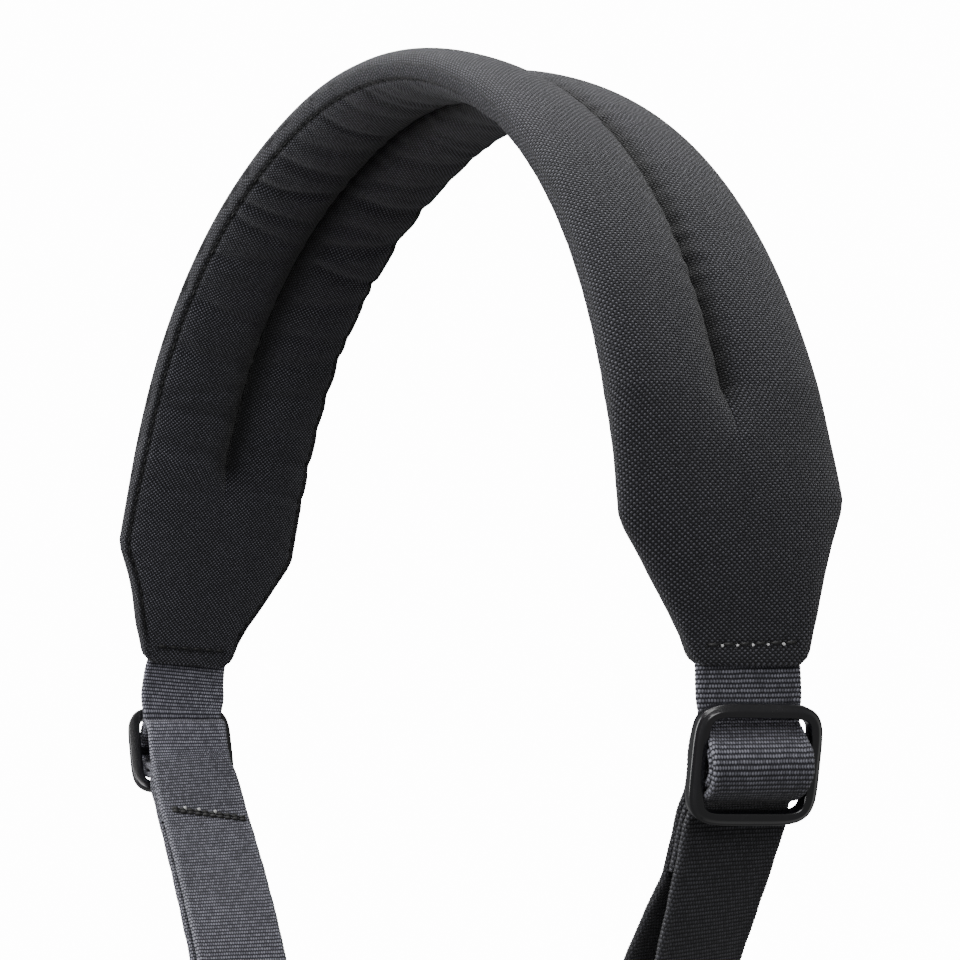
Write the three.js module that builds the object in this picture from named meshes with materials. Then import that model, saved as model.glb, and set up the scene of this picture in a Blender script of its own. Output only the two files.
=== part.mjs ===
// Camera neck strap, held up as it hangs on a neck. Millimetres, +Z up.
// The origin is the top of the neck opening, on the inner face of the pad at its middle.
// The strap arches in the XZ plane, its width lies along Y and the right leg is at +X.
import * as THREE from 'three';

// Webbing: one 25 mm strip on each side, sewn into the end of the pad
const webbingWidth = 25;
const webbingThickness = 1.8;
const sewnLength = 10.5;
const clearance = 0.3;

// Pad: the outer cloth wraps round both edges onto the inner face, where a hem meets the inner panel
const padHalfLength = 214.6;
const hemWidth = 3;
const hemWall = 1;
const lobePoints = 8;
const partingShares = [-1, -0.35, 0.35, 1];
const padStep = 5.8;

// Sections of each half of the pad: run from the middle, half of the width, height of the lobes and
// of the sewn channel between them from the midline, squareness of the section, and half of the gap
// between the outer cushion and the inner one, which opens for the webbing at the end
const padSections = [
  { run: 0, half: 28.3, lobe: 6.2, channel: 1.4, square: 2, room: 0.15 },
  { run: 146, half: 28.3, lobe: 6.2, channel: 1.4, square: 2, room: 0.15 },
  { run: 158, half: 28.3, lobe: 6.2, channel: 5.2, square: 2, room: 0.15 },
  { run: 180, half: 28.3, lobe: 5.9, channel: 5.9, square: 2.2, room: 0.15 },
  { run: 183, half: 27.3, lobe: 5.7, channel: 5.7, square: 2.2, room: 0.15 },
  { run: 190, half: 23.6, lobe: 5.2, channel: 5.2, square: 2.4, room: 0.15 },
  { run: 197, half: 20.4, lobe: 4.6, channel: 4.6, square: 2.6, room: 0.15 },
  { run: 202, half: 18.2, lobe: 4, channel: 4, square: 3, room: 1.2 },
  { run: 208, half: 15.8, lobe: 3.1, channel: 3.1, square: 4, room: 1.2 },
  { run: 213, half: 14.1, lobe: 2.7, channel: 2.7, square: 5, room: 1.2 },
  { run: 214.6, half: 13.3, lobe: 2.5, channel: 2.5, square: 5, room: 1.2 },
];

// Cross dents where the inner face gathers on the inside of the bend
const dentPitch = 23.2;
const dentDepth = 0.7;

// Crown of the arch: the direction in which the midline leaves the middle of the pad
const crownTurn = -3.2;
const crownTilt = 1.8;

// Midline of each half of the pad: run from the middle in mm, then, in degrees for each cm,
// bend about the strap's width, twist about its length and sway in its own plane
const rightArch = [
  { run: 0, bend: 6.1, twist: -0.5, sway: 0.33 },
  { run: 43, bend: 4.9, twist: -0.1, sway: 0.33 },
  { run: 86, bend: 5.0, twist: 0.4, sway: 0.33 },
  { run: 129, bend: 4.6, twist: 1.2, sway: 0.33 },
  { run: 172, bend: 3.7, twist: 2.3, sway: 0.33 },
  { run: 200, bend: 0.6, twist: 1.6, sway: 0.2 },
  { run: 214.6, bend: -1.1, twist: 1.2, sway: -5 },
];
const leftArch = [
  { run: 0, bend: 6.3, twist: 0.4, sway: 0 },
  { run: 43, bend: 3.7, twist: 0.2, sway: 0 },
  { run: 86, bend: 4.8, twist: 0, sway: 0 },
  { run: 129, bend: 5.5, twist: 0, sway: 0 },
  { run: 172, bend: 0.9, twist: 0.3, sway: 0 },
  { run: 214.6, bend: -3.2, twist: 0.5, sway: 0 },
];

// Midline of each leg from the end of the pad, in the same columns.
// It bends where it passes through the slide, runs inwards and eases to hang straight at the end ring.
const legLength = 216;
const rightLeg = [
  { run: 0, bend: 0, twist: 0, sway: -5 },
  { run: 5.5, bend: 0, twist: 0, sway: 0 },
  { run: 10, bend: 29, twist: 0, sway: 0 },
  { run: 14.5, bend: 0, twist: 0, sway: 0 },
  { run: 23, bend: 0, twist: 0, sway: 0 },
  { run: 27, bend: 44, twist: -2, sway: 0 },
  { run: 31, bend: 0, twist: -3, sway: -0.6 },
  { run: 70, bend: 0, twist: -3, sway: -1 },
  { run: 90, bend: -3, twist: -1, sway: -3 },
  { run: 140, bend: -5, twist: 0, sway: -2 },
  { run: 170, bend: 0, twist: 0, sway: 0 },
  { run: 216, bend: 0, twist: 0, sway: 0 },
];
const leftLeg = [
  { run: 0, bend: 0, twist: 2.5, sway: 0 },
  { run: 1, bend: 32, twist: 7, sway: -0.3 },
  { run: 4, bend: 32, twist: 9.5, sway: -2 },
  { run: 7, bend: 32, twist: 9.5, sway: -3.5 },
  { run: 8, bend: 0, twist: 9.5, sway: 0 },
  { run: 11, bend: 0, twist: 6, sway: 0 },
  { run: 15, bend: 46, twist: 1, sway: -9.5 },
  { run: 19, bend: 0, twist: 0, sway: 0 },
  { run: 27, bend: 0, twist: 0, sway: 0 },
  { run: 31, bend: 40, twist: 0.5, sway: -8.5 },
  { run: 35, bend: 0, twist: 0, sway: 0 },
  { run: 60, bend: 0, twist: -0.6, sway: 0.3 },
  { run: 80, bend: 0, twist: 0.3, sway: 0.5 },
  { run: 100, bend: -4, twist: -1.7, sway: 0.5 },
  { run: 140, bend: -8.2, twist: -1.5, sway: 0.5 },
  { run: 170, bend: 0, twist: 0, sway: 0 },
  { run: 216, bend: 0, twist: 0, sway: 0 },
];

// Slide: a cast frame with a centre bar, on the outer side of the webbing
const slideWidth = 30.8;
const slideHeight = 27;
const slideThickness = 3.6;
const slideCorner = 6.4;
const slideBow = 0.8;
const windowWidth = 26;
const windowHeight = 20.8;
const windowCorner = 2.6;
const slotCorner = 0.5;
const centreBar = 2.6;
const slideBevel = 0.5;
const slideLift = 1.1;
const rightStub = 7.6;
const leftStub = 12.2;

// End ring: a plain rectangular ring in the bottom turn of the webbing
const ringWidth = 32.6;
const ringHeight = 16;
const ringBar = 2.4;
const ringCorner = 2.4;
const eyeCorner = 1;
const turnRadius = 2.9;

// Route of the webbing through the slide: run from the slide's centre, and height out of the leg's
// plane. The long layer comes from the pad, passes over the centre bar and goes down to the ring.
const overBar = [
  { run: -10, out: 0 },
  { run: -8, out: 1.3 },
  { run: -6.2, out: 4.4 },
  { run: -3.6, out: 8 },
  { run: 0, out: 9.4 },
  { run: 3.6, out: 8 },
  { run: 6.2, out: 4.4 },
  { run: 8, out: 1.3 },
  { run: 10, out: 0 },
];
// The returning layer comes up from the ring, folds round the centre bar and ends in a sewn tail.
const roundBar = [
  { run: 30, out: -4.2 },
  { run: 12, out: -4.2 },
  { run: 2, out: -4.2 },
  { run: -4, out: -3.8 },
  { run: -6.4, out: -2.2 },
  { run: -6.5, out: -0.2 },
  { run: -4.9, out: 2.7 },
  { run: -2.9, out: 5.9 },
  { run: 0, out: 7.3 },
  { run: 2.9, out: 5.9 },
  { run: 4.9, out: 2.7 },
  { run: 6.7, out: -0.5 },
  { run: 9.5, out: -1.9 },
  { run: 13, out: -2.1 },
  { run: 28, out: -2.1 },
];
const overBarPoints = 28;
const roundBarPoints = 44;
const legPoints = 14;
const turnPoints = 8;

// How far the returning layer hangs away from the long one
const rightBow = 7;
const leftBow = 1.5;

const outerCloth = new THREE.MeshStandardMaterial({ color: 0x27272b, roughness: 0.9, metalness: 0 });
const innerCloth = new THREE.MeshStandardMaterial({ color: 0x202024, roughness: 0.95, metalness: 0 });
const webbing = new THREE.MeshStandardMaterial({ color: 0x36363a, roughness: 0.85, metalness: 0 });
const blackMetal = new THREE.MeshStandardMaterial({ color: 0x0d0d10, roughness: 0.35, metalness: 0.8 });

const degree = Math.PI / 180;

// Value of one column at a run, straight between the table's rows and level past its ends.
function column(rows, key, run) {
  let next = rows.findIndex((row) => row.run >= run);
  if (next < 0) next = rows.length - 1;
  const before = rows[Math.max(next - 1, 0)];
  const after = rows[next];
  const span = after.run - before.run;
  const share = span > 0 ? THREE.MathUtils.clamp((run - before.run) / span, 0, 1) : 0;
  return THREE.MathUtils.lerp(before[key], after[key], share);
}

// A frame is a point of a midline with its directions: along it, out of the strap's face, and across.
function copyFrame(frame) {
  return {
    run: frame.run,
    at: frame.at.clone(),
    along: frame.along.clone(),
    out: frame.out.clone(),
    across: frame.across.clone(),
  };
}

// Carries a frame along its table of bends, and returns a function that gives the frame at any run.
function carry(start, rows, length) {
  const step = 0.5;
  const frames = [{ ...copyFrame(start), run: 0 }];
  for (let run = 0; run < length; run += step) {
    const next = copyFrame(frames.at(-1));
    const turn = new THREE.Vector3()
      .addScaledVector(next.across, column(rows, 'bend', run))
      .addScaledVector(next.along, column(rows, 'twist', run))
      .addScaledVector(next.out, column(rows, 'sway', run))
      .multiplyScalar((degree / 10) * step);
    const angle = turn.length();
    const before = next.along.clone();
    if (angle > 0) {
      const axis = turn.normalize();
      for (const key of ['along', 'out', 'across']) next[key].applyAxisAngle(axis, angle);
    }
    next.at.addScaledVector(before.add(next.along).normalize(), step);
    next.run = run + step;
    frames.push(next);
  }
  return (run) => {
    const place = THREE.MathUtils.clamp(run / step, 0, frames.length - 1);
    const low = frames[Math.floor(place)];
    const high = frames[Math.min(Math.floor(place) + 1, frames.length - 1)];
    const share = place - Math.floor(place);
    const frame = copyFrame(low);
    for (const key of ['at', 'along', 'out', 'across']) frame[key].lerp(high[key], share);
    return frame;
  };
}

// Point of a frame at a height out of the face and a place across the width.
function pointAt(frame, across, out) {
  return frame.at.clone().addScaledVector(frame.across, across).addScaledVector(frame.out, out);
}

// Normal of a section, twice as long as its area is large.
function sectionNormal(section) {
  const normal = new THREE.Vector3();
  for (let i = 1; i + 1 < section.length; i += 1) {
    const edge = new THREE.Vector3().subVectors(section[i], section[0]);
    normal.add(edge.cross(new THREE.Vector3().subVectors(section[i + 1], section[0])));
  }
  return normal;
}

// Faces of a flat end, in the order of the section's own turn.
function endFaces(section) {
  const normal = sectionNormal(section).normalize();
  const u = new THREE.Vector3().subVectors(section[Math.floor(section.length / 2)], section[0]);
  u.addScaledVector(normal, -u.dot(normal)).normalize();
  const v = new THREE.Vector3().crossVectors(normal, u);
  const flat = section.map((point) => new THREE.Vector2(point.dot(u), point.dot(v)));
  return THREE.ShapeUtils.triangulateShape(flat, []);
}

// Closed body through sections of equal point counts.
function loft(sections) {
  const count = sections[0].length;
  const last = sections.length - 1;
  const positions = sections.flat().flatMap((point) => point.toArray());
  const forward = new THREE.Vector3().subVectors(sections[1][0], sections[0][0]);
  const leftHanded = sectionNormal(sections[0]).dot(forward) < 0;
  const index = [];
  const addFace = (a, b, c) => index.push(...(leftHanded ? [a, c, b] : [a, b, c]));
  for (let row = 0; row < last; row += 1) {
    for (let i = 0; i < count; i += 1) {
      const a = row * count + i;
      const b = row * count + ((i + 1) % count);
      addFace(a, b, b + count);
      addFace(a, b + count, a + count);
    }
  }
  for (const [a, b, c] of endFaces(sections[0])) addFace(c, b, a);
  const base = last * count;
  for (const [a, b, c] of endFaces(sections[last])) addFace(base + a, base + b, base + c);
  const geometry = new THREE.BufferGeometry();
  geometry.setAttribute('position', new THREE.Float32BufferAttribute(positions, 3));
  geometry.setIndex(index);
  return geometry;
}

// Height of the pad's face from its midline, at a run and at a share of the half width from the middle.
// Two round lobes with a channel between them turn into one flat crown towards the end of the pad.
function faceHeight(run, share) {
  const row = (key) => column(padSections, key, run);
  const [lobe, channel, square] = [row('lobe'), row('channel'), row('square')];
  const round = (x) => Math.max(1 - x ** square, 0) ** (1 / square);
  const lobes = round(Math.abs(2 * share - 1));
  const crown = round(share);
  const floor = channel / lobe;
  const deepest = padSections[0].channel / padSections[0].lobe;
  const joined = (floor - deepest) / (1 - deepest);
  const apart = share < 0.5 ? floor + (1 - floor) * lobes : lobes;
  return lobe * THREE.MathUtils.lerp(apart, crown, joined);
}

// Shallow dents that cross the inner lobes, fading out where the channel ends.
function innerHeight(run, share) {
  const wave = 0.5 + 0.5 * Math.cos((2 * Math.PI * run) / dentPitch);
  const fade = 1 - THREE.MathUtils.smoothstep(Math.abs(run), 110, 150);
  const across = Math.sin(Math.PI * share) ** 2;
  return faceHeight(Math.abs(run), share) - dentDepth * wave * fade * across;
}

// Half of the width between the hems: the hem keeps its width until the webbing needs the room.
function seamHalf(run) {
  const half = column(padSections, 'half', run);
  return Math.max(half - hemWidth, Math.min(webbingWidth / 2 + clearance, half - hemWall / 2));
}

// Shares of the half width from an angle to the channel, close together at the edge and at the channel.
function lobeShares(from, points) {
  return Array.from({ length: points + 1 }, (_, i) => {
    const angle = from + ((Math.PI - from) * i) / points;
    return 0.5 + 0.5 * Math.cos(angle);
  });
}

function angleOf(share) {
  return Math.acos(THREE.MathUtils.clamp(2 * share - 1, -1, 1));
}

// Section of the outer cushion at a run: hem, edge, two lobes, edge, hem, then the flat inside.
function outerSection(frame, run) {
  const half = column(padSections, 'half', run);
  const seam = seamHalf(run);
  const room = column(padSections, 'room', run);
  const hemAngle = angleOf(seam / half);
  const hem = [1, 2 / 3, 1 / 3].map((part) => 0.5 + 0.5 * Math.cos(hemAngle * part));
  const rim = lobeShares(0, lobePoints);
  const points = [];
  for (const share of hem) points.push([-share * half, -faceHeight(run, share)]);
  for (const share of rim) points.push([-share * half, faceHeight(run, share)]);
  for (const share of rim.slice(0, -1).reverse()) points.push([share * half, faceHeight(run, share)]);
  for (const share of hem.slice().reverse()) points.push([share * half, -faceHeight(run, share)]);
  for (const part of partingShares) points.push([-part * seam, room]);
  return points.map(([across, out]) => pointAt(frame, across, out));
}

// Section of the inner panel with its padding, set between the hems.
function innerSection(frame, run, signedRun) {
  const half = column(padSections, 'half', run);
  const edge = (seamHalf(run) - clearance) / half;
  const room = column(padSections, 'room', run);
  const shares = lobeShares(angleOf(edge), lobePoints);
  const points = [];
  for (const share of shares) points.push([share * half, -innerHeight(signedRun, share)]);
  for (const share of shares.slice(0, -1).reverse()) {
    points.push([-share * half, -innerHeight(signedRun, share)]);
  }
  for (const part of partingShares) points.push([part * edge * half, -room]);
  return points.map(([across, out]) => pointAt(frame, across, out));
}

// Runs from the left end of the pad to its right end, with every row of the section table kept.
function padRuns() {
  const runs = [];
  padSections.slice(1).forEach((row, i) => {
    const from = padSections[i].run;
    const parts = Math.max(1, Math.round((row.run - from) / padStep));
    for (let part = 1; part <= parts; part += 1) runs.push(from + ((row.run - from) * part) / parts);
  });
  return [...runs.map((run) => -run).reverse(), 0, ...runs];
}

// One side of the strap. The left side is carried like the right one and then turned half round.
function makeSide(name, arch, leg, stub, turned) {
  const tilt = (turned ? -crownTilt : crownTilt) * degree;
  const turn = crownTurn * degree;
  const along = new THREE.Vector3(
    Math.cos(turn) * Math.cos(tilt), Math.sin(turn) * Math.cos(tilt), Math.sin(tilt));
  const across = new THREE.Vector3(-Math.sin(turn), Math.cos(turn), 0);
  const at = new THREE.Vector3(0, 0, padSections[0].lobe);
  const crown = { run: 0, at, along, across, out: new THREE.Vector3().crossVectors(along, across) };
  const place = (frame) => {
    if (!turned) return frame;
    for (const key of ['at', 'along', 'out', 'across']) {
      frame[key].set(-frame[key].x, -frame[key].y, frame[key].z);
    }
    frame.across.negate();
    return frame;
  };
  const archAt = carry(crown, arch, padHalfLength);
  const legAt = carry(archAt(padHalfLength), leg, legLength + ringHeight);
  return {
    name,
    slideRun: stub + slideHeight / 2,
    pad: (run) => place(archAt(run)),
    leg: (run) => place(run < 0 ? archAt(padHalfLength + run) : legAt(run)),
  };
}

const right = makeSide('right', rightArch, rightLeg, rightStub, false);
const left = makeSide('left', leftArch, leftLeg, leftStub, true);

function padFrame(run) {
  return run < 0 ? left.pad(-run) : right.pad(run);
}

function makePad(sectionOf) {
  return loft(padRuns().map((run) => sectionOf(padFrame(run), Math.abs(run), run)));
}

// Depth of the returning layer between its fold in the slide and the ring: it bulges away from the
// long layer, most of all a third of the way down.
function returnDepth(share, bow) {
  const bulge = bow * 6.75 * share * (1 - share) ** 2;
  return THREE.MathUtils.lerp(roundBar[0].out, -2 * turnRadius, share) - bulge;
}

// Smooth route through the rows of a table, with its runs counted from the slide's centre.
function smoothRoute(rows, side, points) {
  const curve = new THREE.SplineCurve(rows.map((row) => new THREE.Vector2(row.run, row.out)));
  return curve.getPoints(points).map((point) => ({ run: point.x + side.slideRun, out: point.y }));
}

// Route of one strip of webbing as points of run from the end of the pad and height out of the leg's
// plane: sewn end, over the slide's bar, down the leg, round the ring, back up and round the bar.
function webbingRoute(side, bow) {
  const sewn = [1, 0.8, 0.6, 0.4, 0.2, 0].map((part) => ({ run: -part * sewnLength, out: 0 }));
  const over = smoothRoute(overBar, side, overBarPoints);
  const round = smoothRoute(roundBar, side, roundBarPoints);
  const bottom = legLength - turnRadius;
  const down = [];
  const turn = [];
  const up = [];
  for (let i = 1; i <= legPoints; i += 1) {
    const share = i / legPoints;
    down.push({ run: THREE.MathUtils.lerp(over.at(-1).run, bottom, share), out: 0 });
    up.unshift({ run: THREE.MathUtils.lerp(round[0].run, bottom, share), out: returnDepth(share, bow) });
  }
  for (let i = 1; i < turnPoints; i += 1) {
    const angle = (Math.PI * i) / turnPoints;
    turn.push({
      run: bottom + turnRadius * Math.sin(angle),
      out: -turnRadius + turnRadius * Math.cos(angle),
    });
  }
  return [...sewn, ...over, ...down, ...turn, ...up, ...round];
}

// Strip of webbing along its route: a flat section that turns with the route and with the leg's frames.
function makeWebbing(side, bow) {
  const route = webbingRoute(side, bow);
  const halfWidth = webbingWidth / 2;
  const half = webbingThickness / 2;
  const sections = route.map((row, i) => {
    const before = route[Math.max(i - 1, 0)];
    const after = route[Math.min(i + 1, route.length - 1)];
    const heading = new THREE.Vector2(after.run - before.run, after.out - before.out);
    heading.normalize();
    const frame = side.leg(row.run);
    const centre = pointAt(frame, 0, row.out);
    const normal = frame.out.clone().multiplyScalar(heading.x);
    normal.addScaledVector(frame.along, -heading.y);
    const corner = (across, out) => centre.clone()
      .addScaledVector(frame.across, across)
      .addScaledVector(normal, out);
    return [
      corner(-halfWidth, -half), corner(-halfWidth, half), corner(halfWidth, half), corner(halfWidth, -half),
    ];
  });
  return loft(sections);
}

// Rounded rectangle between two heights, with one corner size at its top and one at its bottom, whose
// sides bow outwards.
function roundedPath(path, halfWidth, top, bottom, topCorner, bottomCorner, bow) {
  path.moveTo(-halfWidth + bottomCorner, bottom);
  path.quadraticCurveTo(0, bottom - bow, halfWidth - bottomCorner, bottom);
  path.quadraticCurveTo(halfWidth, bottom, halfWidth, bottom + bottomCorner);
  path.quadraticCurveTo(halfWidth + bow, (top + bottom) / 2, halfWidth, top - topCorner);
  path.quadraticCurveTo(halfWidth, top, halfWidth - topCorner, top);
  path.quadraticCurveTo(0, top + bow, -halfWidth + topCorner, top);
  path.quadraticCurveTo(-halfWidth, top, -halfWidth, top - topCorner);
  path.quadraticCurveTo(-halfWidth - bow, (top + bottom) / 2, -halfWidth, bottom + bottomCorner);
  path.quadraticCurveTo(-halfWidth, bottom, -halfWidth + bottomCorner, bottom);
  return path;
}

// Plate with openings: x across the strap, y up along the leg, and its thickness centred on z = 0.
function makePlate(outline, openings, thickness, bevel) {
  outline.holes.push(...openings);
  const geometry = new THREE.ExtrudeGeometry(outline, {
    depth: thickness - 2 * bevel,
    bevelEnabled: bevel > 0,
    bevelThickness: bevel,
    bevelSize: bevel,
    bevelOffset: -bevel,
    bevelSegments: 1,
    curveSegments: 4,
  });
  geometry.translate(0, 0, bevel - thickness / 2);
  return geometry;
}

function makeSlide() {
  const half = [slideWidth / 2, slideHeight / 2];
  const outline = roundedPath(
    new THREE.Shape(), half[0], half[1], -half[1], slideCorner, slideCorner, slideBow);
  const slots = [1, -1].map((end) => {
    const [high, low] = end > 0 ? [windowHeight / 2, centreBar / 2] : [-centreBar / 2, -windowHeight / 2];
    const [topCorner, bottomCorner] = end > 0 ? [windowCorner, slotCorner] : [slotCorner, windowCorner];
    return roundedPath(new THREE.Path(), windowWidth / 2, high, low, topCorner, bottomCorner, 0);
  });
  return makePlate(outline, slots, slideThickness, slideBevel);
}

function makeRing() {
  const half = [ringWidth / 2, ringHeight / 2];
  const outline = roundedPath(new THREE.Shape(), half[0], half[1], -half[1], ringCorner, ringCorner, 0);
  const eyeHalf = half.map((size) => size - ringBar);
  const eye = roundedPath(new THREE.Path(), eyeHalf[0], eyeHalf[1], -eyeHalf[1], eyeCorner, eyeCorner, 0);
  return makePlate(outline, [eye], ringBar, 0);
}

// Sets a plate on a leg: its x across the strap, its y back up the leg and its z out of the strap's face.
function setOnLeg(mesh, side, run, out) {
  const frame = side.leg(run);
  const across = frame.across.clone().normalize();
  const outward = frame.out.clone().normalize();
  const up = new THREE.Vector3().crossVectors(outward, across);
  if (up.dot(frame.along) > 0) {
    across.negate();
    up.negate();
  }
  mesh.quaternion.setFromRotationMatrix(new THREE.Matrix4().makeBasis(across, up, outward));
  mesh.position.copy(pointAt(frame, 0, out));
}

const strap = new THREE.Group();

function addPiece(name, geometry, material) {
  const mesh = new THREE.Mesh(geometry, material);
  mesh.name = name;
  strap.add(mesh);
  return mesh;
}

addPiece('pad_outer', makePad(outerSection), outerCloth);
addPiece('pad_inner', makePad(innerSection), innerCloth);
for (const [side, bow] of [[right, rightBow], [left, leftBow]]) {
  addPiece(`webbing_${side.name}`, makeWebbing(side, bow), webbing);
  const slide = addPiece(`slide_${side.name}`, makeSlide(), blackMetal);
  setOnLeg(slide, side, side.slideRun, webbingThickness / 2 + slideLift + slideThickness / 2);
  const ring = addPiece(`ring_${side.name}`, makeRing(), blackMetal);
  setOnLeg(ring, side, legLength - turnRadius + ringHeight / 2 - ringBar / 2, -turnRadius);
}

export default strap;
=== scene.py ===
import bpy
import numpy as np
from mathutils import Matrix, Vector


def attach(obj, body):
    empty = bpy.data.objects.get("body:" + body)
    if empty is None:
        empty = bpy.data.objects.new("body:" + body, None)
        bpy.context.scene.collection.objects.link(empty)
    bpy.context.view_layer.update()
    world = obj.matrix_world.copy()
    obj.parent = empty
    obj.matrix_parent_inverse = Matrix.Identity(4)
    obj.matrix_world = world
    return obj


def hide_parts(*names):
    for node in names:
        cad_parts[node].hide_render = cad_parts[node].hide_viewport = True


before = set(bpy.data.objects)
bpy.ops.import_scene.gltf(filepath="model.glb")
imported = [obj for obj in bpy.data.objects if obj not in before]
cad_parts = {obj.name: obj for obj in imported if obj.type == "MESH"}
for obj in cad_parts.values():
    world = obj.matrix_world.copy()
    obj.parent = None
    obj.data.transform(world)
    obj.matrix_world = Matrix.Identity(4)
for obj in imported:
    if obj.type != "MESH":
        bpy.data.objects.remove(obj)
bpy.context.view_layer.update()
scene = bpy.context.scene
print("frame loaded:", sorted(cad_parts))


# Camera: where it stands, which way it looks, and a lens that gives the photograph's field
cameraView = {
    "at": (0.50488, -0.35111, -0.15685),
    "azimuth": 53.87,
    "elevation": -5.77,
    "roll": 2.31,
    "lens": 89.61,
}


def viewAxes(azimuth, elevation, roll=0.0):
    # back points from the object to the camera; right and up turn about it by the roll
    a, e, r = np.radians([azimuth, elevation, roll])
    back = np.array([np.sin(a) * np.cos(e), -np.cos(a) * np.cos(e), np.sin(e)])
    right = np.array([np.cos(a), np.sin(a), 0.0])
    up = np.cross(back, right)
    return right * np.cos(r) + up * np.sin(r), up * np.cos(r) - right * np.sin(r), back


def makeCamera(look):
    data = bpy.data.cameras.new("photoCamera")
    data.lens = look["lens"]
    data.sensor_width = 36
    data.clip_start = 0.01
    data.clip_end = 50
    camera = bpy.data.objects.new("photoCamera", data)
    right, up, back = viewAxes(look["azimuth"], look["elevation"], look["roll"])
    turn = Matrix((right, up, back)).transposed().to_4x4()
    camera.matrix_world = Matrix.Translation(Vector(look["at"])) @ turn
    scene.collection.objects.link(camera)
    scene.camera = camera


makeCamera(cameraView)
print("camera set")


# Midline of the strap in mm. Each row is run, then bend, twist and sway in degrees for each cm
midline = {
    "crownHeight": 6.2,
    "crownTurn": -3.2,
    "crownTilt": 1.8,
    "padHalf": 214.6,
    "legLength": 216.0,
    "ringHeight": 16.0,
    "rightArch": [
        (0, 6.1, -0.5, 0.33), (43, 4.9, -0.1, 0.33), (86, 5.0, 0.4, 0.33), (129, 4.6, 1.2, 0.33),
        (172, 3.7, 2.3, 0.33), (200, 0.6, 1.6, 0.2), (214.6, -1.1, 1.2, -5),
    ],
    "leftArch": [
        (0, 6.3, 0.4, 0), (43, 3.7, 0.2, 0), (86, 4.8, 0, 0), (129, 5.5, 0, 0), (172, 0.9, 0.3, 0),
        (214.6, -3.2, 0.5, 0),
    ],
    "rightLeg": [
        (0, 0, 0, -5), (5.5, 0, 0, 0), (10, 29, 0, 0), (14.5, 0, 0, 0), (23, 0, 0, 0), (27, 44, -2, 0),
        (31, 0, -3, -0.6), (70, 0, -3, -1), (90, -3, -1, -3), (140, -5, 0, -2), (170, 0, 0, 0),
        (216, 0, 0, 0),
    ],
    "leftLeg": [
        (0, 0, 2.5, 0), (1, 32, 7, -0.3), (4, 32, 9.5, -2), (7, 32, 9.5, -3.5), (8, 0, 9.5, 0),
        (11, 0, 6, 0), (15, 46, 1, -9.5), (19, 0, 0, 0), (27, 0, 0, 0), (31, 40, 0.5, -8.5),
        (35, 0, 0, 0), (60, 0, -0.6, 0.3), (80, 0, 0.3, 0.5), (100, -4, -1.7, 0.5),
        (140, -8.2, -1.5, 0.5), (170, 0, 0, 0), (216, 0, 0, 0),
    ],
}


def turnMatrix(vector):
    # rotation about a vector by its own length in radians
    angle = np.linalg.norm(vector)
    if angle < 1e-12:
        return np.eye(3)
    x, y, z = vector / angle
    cross = np.array([[0, -z, y], [z, 0, -x], [-y, x, 0]])
    return np.eye(3) + np.sin(angle) * cross + (1 - np.cos(angle)) * (cross @ cross)


def carryFrames(start, rows, length):
    # a frame is at, along, out, across; each half mm it turns by the table's rates
    step = 0.5
    table = np.array(rows, float)
    frames = [np.array(start, float)]
    for run in np.arange(0, length, step):
        rate = [np.interp(run, table[:, 0], table[:, k]) for k in (1, 2, 3)]
        at, along, out, across = frames[-1]
        turned = np.array([along, out, across]) @ turnMatrix(
            (across * rate[0] + along * rate[1] + out * rate[2]) * np.radians(step / 10)
        ).T
        middle = along + turned[0]
        frames.append(np.vstack([at + middle / np.linalg.norm(middle) * step, turned]))
    return np.array(frames)


def framesAt(path, run):
    place = np.clip(np.asarray(run, float) / 0.5, 0, len(path) - 1)
    low = np.floor(place).astype(int)
    high = np.minimum(low + 1, len(path) - 1)
    share = (place - low)[..., None, None]
    return path[low] * (1 - share) + path[high] * share


def makeSide(arch, leg, turned):
    # both sides are carried to the right; the left one is then turned half round about Z
    tilt = np.radians(midline["crownTilt"] * (-1 if turned else 1))
    turn = np.radians(midline["crownTurn"])
    along = np.array([np.cos(turn) * np.cos(tilt), np.sin(turn) * np.cos(tilt), np.sin(tilt)])
    across = np.array([-np.sin(turn), np.cos(turn), 0.0])
    start = [[0, 0, midline["crownHeight"]], along, np.cross(along, across), across]
    archPath = carryFrames(start, arch, midline["padHalf"])
    legStart = framesAt(archPath, midline["padHalf"])
    legPath = carryFrames(legStart, leg, midline["legLength"] + midline["ringHeight"])
    if turned:
        for path in (archPath, legPath):
            path[:, :, :2] *= -1
            path[:, 3] *= -1
    return {"arch": archPath, "leg": legPath}


right = makeSide(midline["rightArch"], midline["rightLeg"], False)
left = makeSide(midline["leftArch"], midline["leftLeg"], True)


def padFrames(run):
    run = np.asarray(run, float)
    away = np.abs(run)
    return np.where((run < 0)[..., None, None], framesAt(left["arch"], away), framesAt(right["arch"], away))


def legFrames(side, run):
    run = np.asarray(run, float)
    above = framesAt(side["arch"], midline["padHalf"] + np.minimum(run, 0))
    return np.where((run < 0)[..., None, None], above, framesAt(side["leg"], np.maximum(run, 0)))


def unit(v):
    return v / np.maximum(np.linalg.norm(v, axis=-1, keepdims=True), 1e-12)


def smooth(low, high, x):
    t = np.clip((x - low) / (high - low), 0, 1)
    return t * t * (3 - 2 * t)


def ripple(x, seed):
    # repeatable uneven waves between about -1 and 1: five sines with unrelated lengths
    rng = np.random.default_rng(seed)
    lengths = rng.uniform(0.55, 1.9, 5)
    phases = rng.uniform(0, 2 * np.pi, 5)
    return sum(np.sin(x / l + p) for l, p in zip(lengths, phases)) / 3.2


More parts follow.
